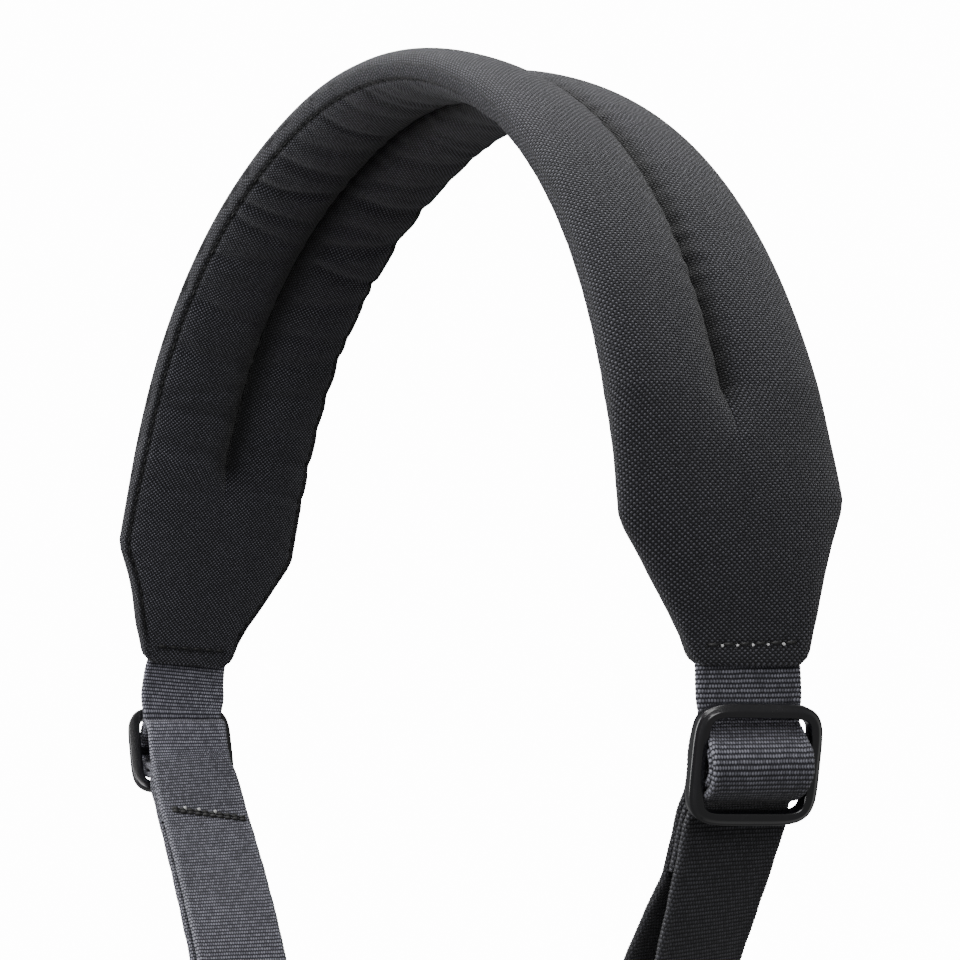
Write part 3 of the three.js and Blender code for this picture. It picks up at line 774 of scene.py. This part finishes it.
def makePad():
    runs = np.linspace(-midline["padHalf"], midline["padHalf"], pad["stations"])
    turns = np.linspace(0, 4, pad["around"], endpoint=False)
    run, turn = np.meshgrid(runs, turns, indexing="ij")
    move = swellPad(run, turn)
    move = refineAxis(refineAxis(move, pad["refine"], 0, False), pad["refine"], 1, True)
    fineRuns = np.linspace(-midline["padHalf"], midline["padHalf"], (pad["stations"] - 1) * pad["refine"] + 1)
    fineTurns = np.linspace(0, 4, pad["around"] * pad["refine"], endpoint=False)
    run, turn = np.meshgrid(fineRuns, fineTurns, indexing="ij")
    across, height, share, sideSign, faceSign = padSection(run, turn)
    points = padPoints(run, across, height) + move
    normals = gridNormals(points)
    outwards = np.sum(normals * (points - padPoints(run, across * 0, height * 0)), -1).mean()
    normals *= np.sign(outwards)
    onInner = faceSign < 0
    fromEdge = sectionColumn(1, run) - np.abs(across)
    offset, shade = padRelief(run, across, share, sideSign, onInner, fromEdge)
    frames = padFrames(fineRuns)
    points = settleEnds(points + normals * offset[..., None], run, across, frames)

    # the end turns in on itself round the webbing
    rows, columns = run.shape
    lips = {}
    for end in (0, rows - 1):
        centre = points[end].mean(0)
        lips[end] = [centre + (points[end] - centre) * size + frames[end, 1] * reach
                     for size, reach in pad["lips"]]
    extra = len(pad["lips"])
    widen = lambda grid: np.concatenate([np.repeat(grid[:1], extra, 0), grid, np.repeat(grid[-1:], extra, 0)])
    allRows = np.concatenate([np.array(lips[0][::-1]), points, np.array(lips[rows - 1])])
    total = len(allRows)
    uv = widen(padUv(points, run))
    faceColumn = np.tile(np.arange(columns), total - 1)
    faceRow = np.repeat(np.clip(np.arange(total - 1) - extra, 0, rows - 1), columns)
    lining = (onInner & (fromEdge > pad["hem"]["width"]))[faceRow, faceColumn].astype(int)
    capStart = closeFan(np.arange(columns), total * columns)
    capEnd = closeFan(np.arange(columns)[::-1] + (total - 1) * columns, total * columns + 1)
    flatPoints = np.concatenate([allRows.reshape(-1, 3), allRows[0].mean(0)[None], allRows[-1].mean(0)[None]])
    flatUv = np.concatenate([uv.reshape(-1, 2), uv[0, :1], uv[-1, :1]])
    # painted shade: the centre points of both end caps get a shade of 0.5, inside the turned-in ends
    made = makeMesh(
        "neckPad", flatPoints, [gridFaces(total, columns, True), capStart, capEnd], flatUv, True,
        (outerCloth, innerCloth), np.concatenate([lining, np.zeros(2 * columns, int)]),
        np.concatenate([widen(shade).ravel(), [0.5, 0.5]]))
    fixNormals(made)
    return made, {"points": points, "normals": normals, "run": run, "across": across}


def fixNormals(made):
    # turns every face outwards if the closed surface was wound the other way
    mesh = made.data
    mesh.calc_loop_triangles()
    tris = np.zeros(len(mesh.loop_triangles) * 3, np.int32)
    mesh.loop_triangles.foreach_get("vertices", tris)
    co = np.zeros(len(mesh.vertices) * 3, np.float32)
    mesh.vertices.foreach_get("co", co)
    p = co.reshape(-1, 3)[tris.reshape(-1, 3)].astype(float)
    volume = np.einsum("ij,ij->i", p[:, 0], np.cross(p[:, 1], p[:, 2])).sum()
    if volume < 0:
        mesh.flip_normals()


neckPad, padShape = makePad()
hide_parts("pad_outer", "pad_inner")
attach(neckPad, "root")
print("pad made:", len(neckPad.data.polygons), "faces")


# Webbing: one strip a side. Route rows are run from the slide's centre and height out of the leg
webbing = {
    "width": 25.6,
    "thickness": 1.8,
    "sewn": 10.5,
    "stubRight": 7.6,
    "stubLeft": 12.2,
    "ribPitch": 1.05,
    "ribHeight": 0.08,
    "edgeLoop": 0.2,
    "edgeRound": 0.07,
    "selvedge": {
        "place": 0.9, "rise": 0.14, "width": 0.05, "ditch": 0.12, "ditchIn": 0.1, "ditchWidth": 0.025,
    },
    "squeeze": {"share": 0.06, "from": 9, "to": 15},
    "columns": 48,
    "rowsPerRib": 4,
    "bead": 0.18,
    "wave": {"height": 0.12, "length": 9},
    # painted light and shade of each strip: its colour is scaled by the first number at and above the slide
    # and by the second further down the leg; the left strip is painted lighter and the right one darker down
    # its leg, as the light falls
    "shadeRight": (0.85, 0.24),
    "shadeLeft": (1.35, 0.95),
    "turnRadius": 2.9,
    "bowRight": 7.0,
    "bowLeft": 1.5,
    "overBar": [
        (-10, 0), (-8, 1.3), (-6.2, 4.4), (-3.6, 8), (0, 9.4), (3.6, 8), (6.2, 4.4), (8, 1.3), (10, 0),
    ],
    "roundBar": [
        (30, -4.2), (12, -4.2), (2, -4.2), (-4, -3.8), (-6.4, -2.2), (-6.5, -0.2), (-4.9, 2.7), (-2.9, 5.9),
        (0, 7.3), (2.9, 5.9), (4.9, 2.7), (6.7, -0.5), (9.5, -1.9), (13, -2.1), (28, -2.1),
    ],
}
slide = {
    "width": 30.8, "height": 27.0, "thickness": 3.6, "windowWidth": 24.2, "windowHeight": 20.8,
    "lift": 1.1, "bar": 1.3, "barOverlap": 0.7, "outerPower": 4.6, "windowPower": 8.0,
    "shiftRight": 0.5, "turnRight": -1.5, "shiftLeft": -0.5, "turnLeft": 0.0,
    # section of the band: how far in from its outer edge and how high, in mm
    "section": [
        (0, -1.5), (0, 0.5), (0.04, 0.7), (0.12, 0.84), (0.24, 0.92), (0.4, 0.98), (0.48, 1.05), (0.58, 1.2),
        (0.95, 1.62), (1.06, 1.73), (1.2, 1.78), (1.4, 1.8), (1.95, 1.8), (2.12, 1.76), (2.25, 1.67),
        (2.34, 1.5), (2.4, 1.25), (2.4, -1.4), (2.35, -1.6), (2.2, -1.74), (2.0, -1.8), (0.4, -1.8),
        (0.16, -1.74), (0.04, -1.64),
    ],
}


def smoothRoute(rows, steps):
    # smooth curve through the rows, the same on both sides of every row
    rows = np.array(rows, float)
    return refineAxis(rows, steps, 0, False)


def webbingRoute(stub, bow):
    centre = stub + slide["height"] / 2
    bottom = midline["legLength"] - webbing["turnRadius"]
    radius = webbing["turnRadius"]
    over = smoothRoute(webbing["overBar"], 8) + [centre, 0]
    folded = smoothRoute(webbing["roundBar"], 8) + [centre, 0]
    start = np.column_stack([np.linspace(-webbing["sewn"], over[0, 0], 12)[:-1], np.zeros(11)])
    down = np.column_stack([np.linspace(over[-1, 0], bottom, 40)[1:], np.zeros(39)])
    angle = np.linspace(0, np.pi, 18)[1:-1]
    turn = np.column_stack([bottom + radius * np.sin(angle), -radius + radius * np.cos(angle)])
    share = np.linspace(1, 0, 40)[:-1]
    rise = webbing["roundBar"][0][1]
    depth = rise + (-2 * radius - rise) * share - bow * 6.75 * share * (1 - share) ** 2
    up = np.column_stack([folded[0, 0] + (bottom - folded[0, 0]) * share, depth])
    return np.concatenate([start, over, down, turn, up, folded]), centre


def resample(line, spacing):
    # even steps along a polyline, with the length of each new point from the start
    length = np.concatenate([[0], np.cumsum(np.linalg.norm(np.diff(line, axis=0), axis=1))])
    even = np.linspace(0, length[-1], int(length[-1] / spacing) + 1)
    return np.column_stack([np.interp(even, length, line[:, k]) for k in range(line.shape[1])]), even


def stripSection():
    # flat strip with round edges and a slightly fatter tube along each selvedge
    t = np.linspace(0, 2 * np.pi, webbing["columns"], endpoint=False)
    x = np.cos(t)
    beyond = np.clip((np.abs(x) - 1 + webbing["edgeRound"]) / webbing["edgeRound"], 0, 1)
    look = webbing["selvedge"]
    fromTube = np.abs(x) - look["place"]
    rise = look["rise"] * bell(fromTube, look["width"])
    ditch = look["ditch"] * bell(fromTube + look["ditchIn"], look["ditchWidth"])
    return x, np.sign(np.round(np.sin(t), 9)) * np.sqrt(1 - beyond ** 2) * (1 + rise - ditch)


def makeWebbing(name, side, stub, bow, shades):
    route, centre = webbingRoute(stub, bow)
    line, length = resample(route, webbing["ribPitch"] / webbing["rowsPerRib"])
    for _ in range(3):
        line[1:-1] = (line[:-2] + 2 * line[1:-1] + line[2:]) / 4
    heading = unit(np.gradient(line, axis=0))
    frames = legFrames(side, line[:, 0])
    at, along, out, across = [frames[:, k] for k in range(4)]
    centres = at + out * line[:, 1:2]
    normal = out * heading[:, :1] - along * heading[:, 1:2]
    x, y = stripSection()
    # ribs are rows of rounded ridges along the strip; the edge loops swell out once a rib
    phase = 2 * np.pi * length / webbing["ribPitch"]
    ridge = 0.5 + 0.5 * np.cos(phase)
    thick = webbing["thickness"] / 2 - webbing["ribHeight"] * (1 - ridge)
    endRound = np.minimum(smooth(0, 0.6, length), smooth(0, 0.6, length[-1] - length))
    thick = thick * (0.55 + 0.45 * endRound)
    loops = ridge + 0.5 * ripple(length * 0.7, 21)
    wide = webbing["width"] / 2 + webbing["edgeLoop"] * (loops - 1)
    squeeze = webbing["squeeze"]
    inSlide = 1 - smooth(squeeze["from"], squeeze["to"], np.abs(line[:, 0] - centre))
    wide = wide * (1 - squeeze["share"] * inSlide)
    wave = webbing["wave"]["height"] * ripple(length / webbing["wave"]["length"], 31)[:, None]
    wave = wave * np.sin(np.pi * (x + 1) / 2 * 1.5)[None]
    edge = np.abs(x) > 0.97
    bead = 1 + webbing["bead"] * edge[None] * np.cos(phase + np.pi)[:, None]
    points = (centres[:, None] + across[:, None] * (wide[:, None] * x)[..., None]
              + normal[:, None] * (thick[:, None] * y * bead + wave)[..., None])
    rows, columns = points.shape[:2]
    v = np.where(y >= 0, x, 2 - x) * webbing["width"] / 2
    uv = np.stack(np.broadcast_arrays(length[:, None], v[None]), -1) * 0.001
    capStart = closeFan(np.arange(columns), rows * columns)
    capEnd = closeFan(np.arange(columns)[::-1] + (rows - 1) * columns, rows * columns + 1)
    flatPoints = np.concatenate([points.reshape(-1, 3), points[0].mean(0)[None], points[-1].mean(0)[None]])
    flatUv = np.concatenate([uv.reshape(-1, 2), uv[0, :1], uv[-1, :1]])
    # painted light and shade: the factor moves from the side's first to its second value just below the slide
    shade = shades[0] + (shades[1] - shades[0]) * smooth(centre + 2, centre + 12, line[:, 0])
    shade = np.concatenate([np.repeat(shade, columns), shade[:1], shade[-1:]])
    made = makeMesh(name, flatPoints, [gridFaces(rows, columns, True), capStart, capEnd], flatUv, True,
                    (webbingCloth,), None, shade)
    fixNormals(made)
    return made, centre


for side, label, end in ((right, "right", "Right"), (left, "left", "Left")):
    strip, centre = makeWebbing("strip_" + label, side, webbing["stub" + end], webbing["bow" + end],
                                webbing["shade" + end])
    side["centre"] = centre
    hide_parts("webbing_" + label)
    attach(strip, "root")
print("webbing made")


# Slides and end rings: loops of a rounded section round a rounded rectangle
def roundedLoop(halfWidth, halfHeight, power, count=200):
    # superellipse |x/a|^power + |y/b|^power = 1, with the points drawn towards the corners
    t = np.linspace(0, 2 * np.pi, count, endpoint=False)
    t = t - 0.22 * np.sin(4 * t)
    x = np.sign(np.cos(t)) * np.abs(np.cos(t)) ** (2 / power) * halfWidth
    y = np.sign(np.sin(t)) * np.abs(np.sin(t)) ** (2 / power) * halfHeight
    return np.column_stack([x, y])


def frameLoop(outer, inner, thickness):
    # round section carried between the outer and the inner line
    t = np.linspace(0, 2 * np.pi, ring["around"], endpoint=False)
    s = 0.5 - 0.5 * np.cos(t)
    rows = np.column_stack([s, 0.5 * thickness * np.sin(t)])
    return sectionLoop(outer, inner, rows)


def tube(start, end, radius, around=24, rows=9):
    # straight round bar along x
    t = np.linspace(0, 2 * np.pi, around, endpoint=False)
    line = np.linspace(start, end, rows)
    ring = np.stack([np.zeros(around), radius * np.cos(t), radius * np.sin(t)], -1)
    return line[:, None] + ring[None]


def closedTorus(points):
    # quads of a grid that joins up in both directions
    rows, columns = points.shape[:2]
    r, c = np.meshgrid(np.arange(rows), np.arange(columns), indexing="ij")
    here, below, beside = r * columns, (r + 1) % rows * columns, (c + 1) % columns
    return np.stack([here + c, here + beside, below + beside, below + c], -1).reshape(-1, 4)


def sectionLoop(outer, inner, rows):
    # a drawn section carried round between the outer and the inner line
    rows = np.array(rows)
    s = rows[:, 0] / rows[:, 0].max()
    plane = outer[:, None] * (1 - s)[None, :, None] + inner[:, None] * s[None, :, None]
    return np.concatenate([plane, np.broadcast_to(rows[None, :, 1:], plane.shape[:2] + (1,))], -1)


def seatOnLeg(local, side, run, out, shift=0.0):
    # local x across the strap, y back up the leg, z out of the strap's face
    at, along, outward, across = framesAt(side["leg"], run)
    across, outward = unit(across), unit(outward)
    base = at + outward * out + across * shift
    up = np.cross(outward, across)
    if np.dot(up, along) > 0:
        across, up = -across, -up
    return base + local[..., :1] * across + local[..., 1:2] * up + local[..., 2:3] * outward


def makeSlide(name, side, shift, turn):
    outer = roundedLoop(slide["width"] / 2, slide["height"] / 2, slide["outerPower"])
    inner = roundedLoop(slide["windowWidth"] / 2, slide["windowHeight"] / 2, slide["windowPower"])
    loop = sectionLoop(outer, inner, slide["section"])
    barEnd = slide["windowWidth"] / 2 + slide["barOverlap"]
    bar = tube((-barEnd, 0, 0), (barEnd, 0, 0), slide["bar"])
    out = webbing["thickness"] / 2 + slide["lift"] + slide["thickness"] / 2
    c, n = np.cos(np.radians(turn)), np.sin(np.radians(turn))
    inPlane = np.array([[c, n, 0], [-n, c, 0], [0, 0, 1]])
    placed = [seatOnLeg(p @ inPlane, side, side["centre"], out, shift) for p in (loop, bar)]
    count = loop.shape[0] * loop.shape[1]
    barRows, barColumns = bar.shape[:2]
    total = count + barRows * barColumns
    faces = [closedTorus(loop), gridFaces(barRows, barColumns, True) + count,
             closeFan(np.arange(barColumns) + count, total),
             closeFan(np.arange(barColumns)[::-1] + count + (barRows - 1) * barColumns, total + 1)]
    points = np.concatenate([placed[0].reshape(-1, 3), placed[1].reshape(-1, 3),
                             placed[1][0].mean(0)[None], placed[1][-1].mean(0)[None]])
    made = makeMesh(name, points, faces, None, True, (castBlack,))
    fixNormals(made)
    return made


ring = {"width": 32.6, "bar": 2.4, "power": 9.0, "around": 20}


def makeRing(name, side):
    halfWidth = ring["width"] / 2 - ring["bar"] / 2
    halfHeight = midline["ringHeight"] / 2 - ring["bar"] / 2
    middle = roundedLoop(halfWidth, halfHeight, ring["power"])
    outer = roundedLoop(halfWidth + ring["bar"] / 2, halfHeight + ring["bar"] / 2, ring["power"])
    inner = 2 * middle - outer
    loop = frameLoop(outer, inner, ring["bar"])
    run = midline["legLength"] - webbing["turnRadius"] + midline["ringHeight"] / 2 - ring["bar"] / 2
    placed = seatOnLeg(loop, side, run, -webbing["turnRadius"])
    made = makeMesh(name, placed, closedTorus(loop), None, True, (castBlack,))
    fixNormals(made)
    return made


for side, label, end in ((right, "right", "Right"), (left, "left", "Left")):
    slider = makeSlide("slider_" + label, side, slide["shift" + end], slide["turn" + end])
    for made, node in ((slider, "slide_"), (makeRing("endRing_" + label, side), "ring_")):
        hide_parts(node + label)
        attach(made, "root")
print("slides and rings made")


# Stitches: short arched threads, each a small tube
stitch = {
    "sides": 6,
    "rows": 6,
    "sink": 0.15,
    "hem": {"pitch": 3.0, "length": 2.1, "reach": 204, "radius": 0.26, "rise": 0.12},
    "channel": {"pitch": 3.2, "length": 2.3, "reach": 157, "radius": 0.26, "rise": 0.12},
    "end": {
        "run": 210.2, "count": 6, "halfSpan": 11.2, "share": 0.36, "radius": 0.6, "rise": 0.12,
        "knotRadius": 0.38, "knotRise": 0.35,
    },
    # the row that sews the left webbing's loose end, seen on the inner face below the slide
    "loose": {
        "below": 27.8, "slant": 0.25, "depth": 5.15, "from": -8.6, "to": 12.4, "pitch": 2.1, "half": 1.1,
        "radius": 0.62, "rise": 0.25, "knots": (-5.9, -2.0, 2.6), "knotRadius": 0.5, "knotRise": 0.7,
    },
}


def threads(starts, ends, normals, radius, rise):
    # every thread arches from its start to its end along the normal, thinner at both ends
    t = np.linspace(0, 1, stitch["rows"])
    arch = np.sin(np.pi * t)
    lift = (arch * rise - stitch["sink"])[None, :, None]
    line = starts[:, None] + (ends - starts)[:, None] * t[None, :, None] + normals[:, None] * lift
    sideways = unit(np.cross(unit(ends - starts), normals))[:, None, None]
    a = np.linspace(0, 2 * np.pi, stitch["sides"], endpoint=False)[None, None, :, None]
    girth = radius * (0.35 + 0.65 * np.sqrt(arch))
    section = sideways * np.cos(a) + normals[:, None, None] * np.sin(a)
    points = line[:, :, None] + section * girth[None, :, None, None]
    count, rows, columns = points.shape[:3]
    first = np.arange(count) * rows * columns
    faces = (gridFaces(rows, columns, True)[None] + first[:, None, None]).reshape(-1, 4)
    loop = np.arange(columns)
    startCaps = loop[::-1][None] + first[:, None]
    endCaps = loop[None] + (rows - 1) * columns + first[:, None]
    return points.reshape(-1, 3), [faces, startCaps, endCaps]


def makeThreads(name, starts, ends, normals, radius, rise, material):
    points, faces = threads(starts, ends, normals, radius, rise)
    made = makeMesh(name, points, faces, None, True, (material,))
    fixNormals(made)
    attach(made, "root")


def padSurface(run, across, inner):
    # nearest point of the finished pad surface and its normal, looked up on the grid
    columns = padShape["run"].shape[1]
    runs = padShape["run"][:, 0]
    row = np.clip(np.searchsorted(runs, run), 0, len(runs) - 1)
    span = slice(columns // 2, columns) if inner else slice(0, columns // 2)
    gap = np.abs(padShape["across"][row][:, span] - across[:, None])
    column = gap.argmin(1) + span.start
    return padShape["points"][row, column], padShape["normals"][row, column]


def hemStitches():
    look = stitch["hem"]
    middle = np.arange(-look["reach"], look["reach"] + 0.1, look["pitch"])
    sets = []
    for sign in (-1, 1):
        for shift in (-look["length"] / 2, look["length"] / 2):
            run = middle + shift
            sets.append(padSurface(run, sign * (sectionColumn(1, run) - pad["hem"]["width"]), True))
    starts = np.concatenate([sets[0][0], sets[2][0]])
    ends = np.concatenate([sets[1][0], sets[3][0]])
    normals = unit(np.concatenate([sets[0][1] + sets[1][1], sets[2][1] + sets[3][1]]))
    makeThreads("hemThread", starts, ends, normals, look["radius"], look["rise"], darkThread)


def channelStitches():
    look = stitch["channel"]
    middle = np.arange(-look["reach"], look["reach"] + 0.1, look["pitch"])
    for inner, name in ((True, "channelThread_inner"), (False, "channelThread_outer")):
        a, n = padSurface(middle - look["length"] / 2, middle * 0, inner)
        b, _ = padSurface(middle + look["length"] / 2, middle * 0, inner)
        makeThreads(name, a, b, n, look["radius"], look["rise"], darkThread)


def endRow(name, sign, inner):
    # dark dashes across the flat end with a light knot between each two; the knots are real thread pieces,
    # painted light grey as a painted highlight on the thread
    look = stitch["end"]
    pitch = 2 * look["halfSpan"] / look["count"]
    places = -look["halfSpan"] + pitch * (np.arange(look["count"]) + 0.5)
    runs = np.full(look["count"], sign * look["run"])
    a, n = padSurface(runs, places - pitch * look["share"], inner)
    b, _ = padSurface(runs, places + pitch * look["share"], inner)
    makeThreads(name + "_dark", a, b, n, look["radius"], look["rise"], darkThread)
    if sign < 0 and inner:
        return
    knots = places[:-1] + pitch / 2
    a, n = padSurface(runs[:-1] - 0.5, knots - 0.15, inner)
    b, _ = padSurface(runs[:-1] + 0.5, knots + 0.25, inner)
    makeThreads(name + "_light", a, b, n, look["knotRadius"], look["knotRise"], glintThread)


def looseSurface(across, down):
    # point and normal on the inner face of the left webbing's returning layer, on the row's slanted line
    look = stitch["loose"]
    run = left["centre"] + look["below"] + look["slant"] * across + down
    frames = legFrames(left, run)
    return frames[:, 0] + frames[:, 3] * across[:, None] - frames[:, 2] * look["depth"], -frames[:, 2]


def looseRow():
    look = stitch["loose"]
    places = np.arange(look["from"], look["to"], look["pitch"])
    for lower in (0, 1):
        a, n = looseSurface(places - look["half"], lower)
        b, _ = looseSurface(places + look["half"], lower)
        makeThreads("returnThread_%d" % lower, a, b, n, look["radius"], look["rise"], darkThread)
    # the light knots are thread pieces painted light grey, a painted highlight on the row
    knots = np.array(look["knots"])
    a, n = looseSurface(knots - 0.3, look["slant"] * 0.3 - 1.0)
    b, _ = looseSurface(knots + 0.4, 0.3 - look["slant"] * 0.4)
    makeThreads("returnThread_light", a, b, n, look["knotRadius"], look["knotRise"], glintThread)


hemStitches()
channelStitches()
looseRow()
for label, sign in (("right", 1), ("left", -1)):
    endRow("endThread_outer_" + label, sign, False)
    endRow("endThread_inner_" + label, sign, True)
print("stitches made")


# Floor and light: a pale glowing bowl far below, a large soft light above, a tall box and a strip on
# the left, and one weaker light in front
surround = {
    "emission": 14.0,
    "world": 0.3,
    "floorHeight": -900,
    "around": 96,
    # radius and height above the floor, in mm
    "bowl": [
        (1, 0), (1000, 0), (2000, 0), (3000, 0), (4000, 120), (4800, 450), (5400, 950), (5800, 1700),
        (6000, 2800), (6000, 6000),
    ],
}


def makeStage():
    material, tree, shader = newMaterial("paleFloor")
    place = tree.nodes.new("ShaderNodeTexCoord")
    tint = mixColour(tree, noise(tree, place.outputs["Object"], 3), grey(0.9), grey(0.94))
    tree.links.new(tint, shader.inputs["Base Color"])
    shader.inputs["Roughness"].default_value = 0.9
    shader.inputs["Emission Color"].default_value = grey(1.0)
    shader.inputs["Emission Strength"].default_value = surround["emission"]
    radius, rise = np.array(surround["bowl"], float).T
    t = np.linspace(0, 2 * np.pi, surround["around"], endpoint=False)
    height = np.broadcast_to((rise + surround["floorHeight"])[:, None], (len(rise), len(t)))
    points = np.stack([radius[:, None] * np.cos(t), radius[:, None] * np.sin(t), height], -1)
    floor = makeMesh("floor", points, gridFaces(len(rise), len(t), True), None, True, (material,))
    floor.visible_diffuse = False
    floor.visible_glossy = False


def makeLight(name, at, toward, size, power, sizeY=None):
    data = bpy.data.lights.new(name, "AREA")
    data.shape = "RECTANGLE"
    data.size = size
    data.size_y = sizeY or size
    data.energy = power
    light = bpy.data.objects.new(name, data)
    light.location = at
    light.rotation_euler = (Vector(toward) - Vector(at)).to_track_quat("-Z", "Y").to_euler()
    scene.collection.objects.link(light)


lights = {
    "top": {"at": (-0.1, -0.15, 1.1), "toward": (0, 0, -0.1), "size": 1.1, "power": 32.0},
    "leftBox": {"at": (-0.85, -1.3, 0.1), "toward": (0, 0, -0.15), "size": 0.6, "sizeY": 1.5, "power": 26.0},
    "rimStrip": {"at": (-0.2, -1.6, 0.1), "toward": (0, 0, -0.15), "size": 0.3, "sizeY": 1.4, "power": 18.0},
    "front": {"at": (1.3, -0.6, 0.6), "toward": (0, 0, -0.1), "size": 0.9, "power": 16.0},
}


def makeWorld():
    world = bpy.data.worlds.new("studio")
    world.use_nodes = True
    tree = world.node_tree
    tree.nodes.clear()
    output = tree.nodes.new("ShaderNodeOutputWorld")
    background = tree.nodes.new("ShaderNodeBackground")
    background.inputs["Color"].default_value = grey(1.0)
    background.inputs["Strength"].default_value = surround["world"]
    tree.links.new(background.outputs[0], output.inputs[0])
    scene.world = world


makeStage()
makeWorld()
for name, look in lights.items():
    makeLight(name, look["at"], look["toward"], look["size"], look["power"], sizeY=look.get("sizeY"))
print("stage and lights set")
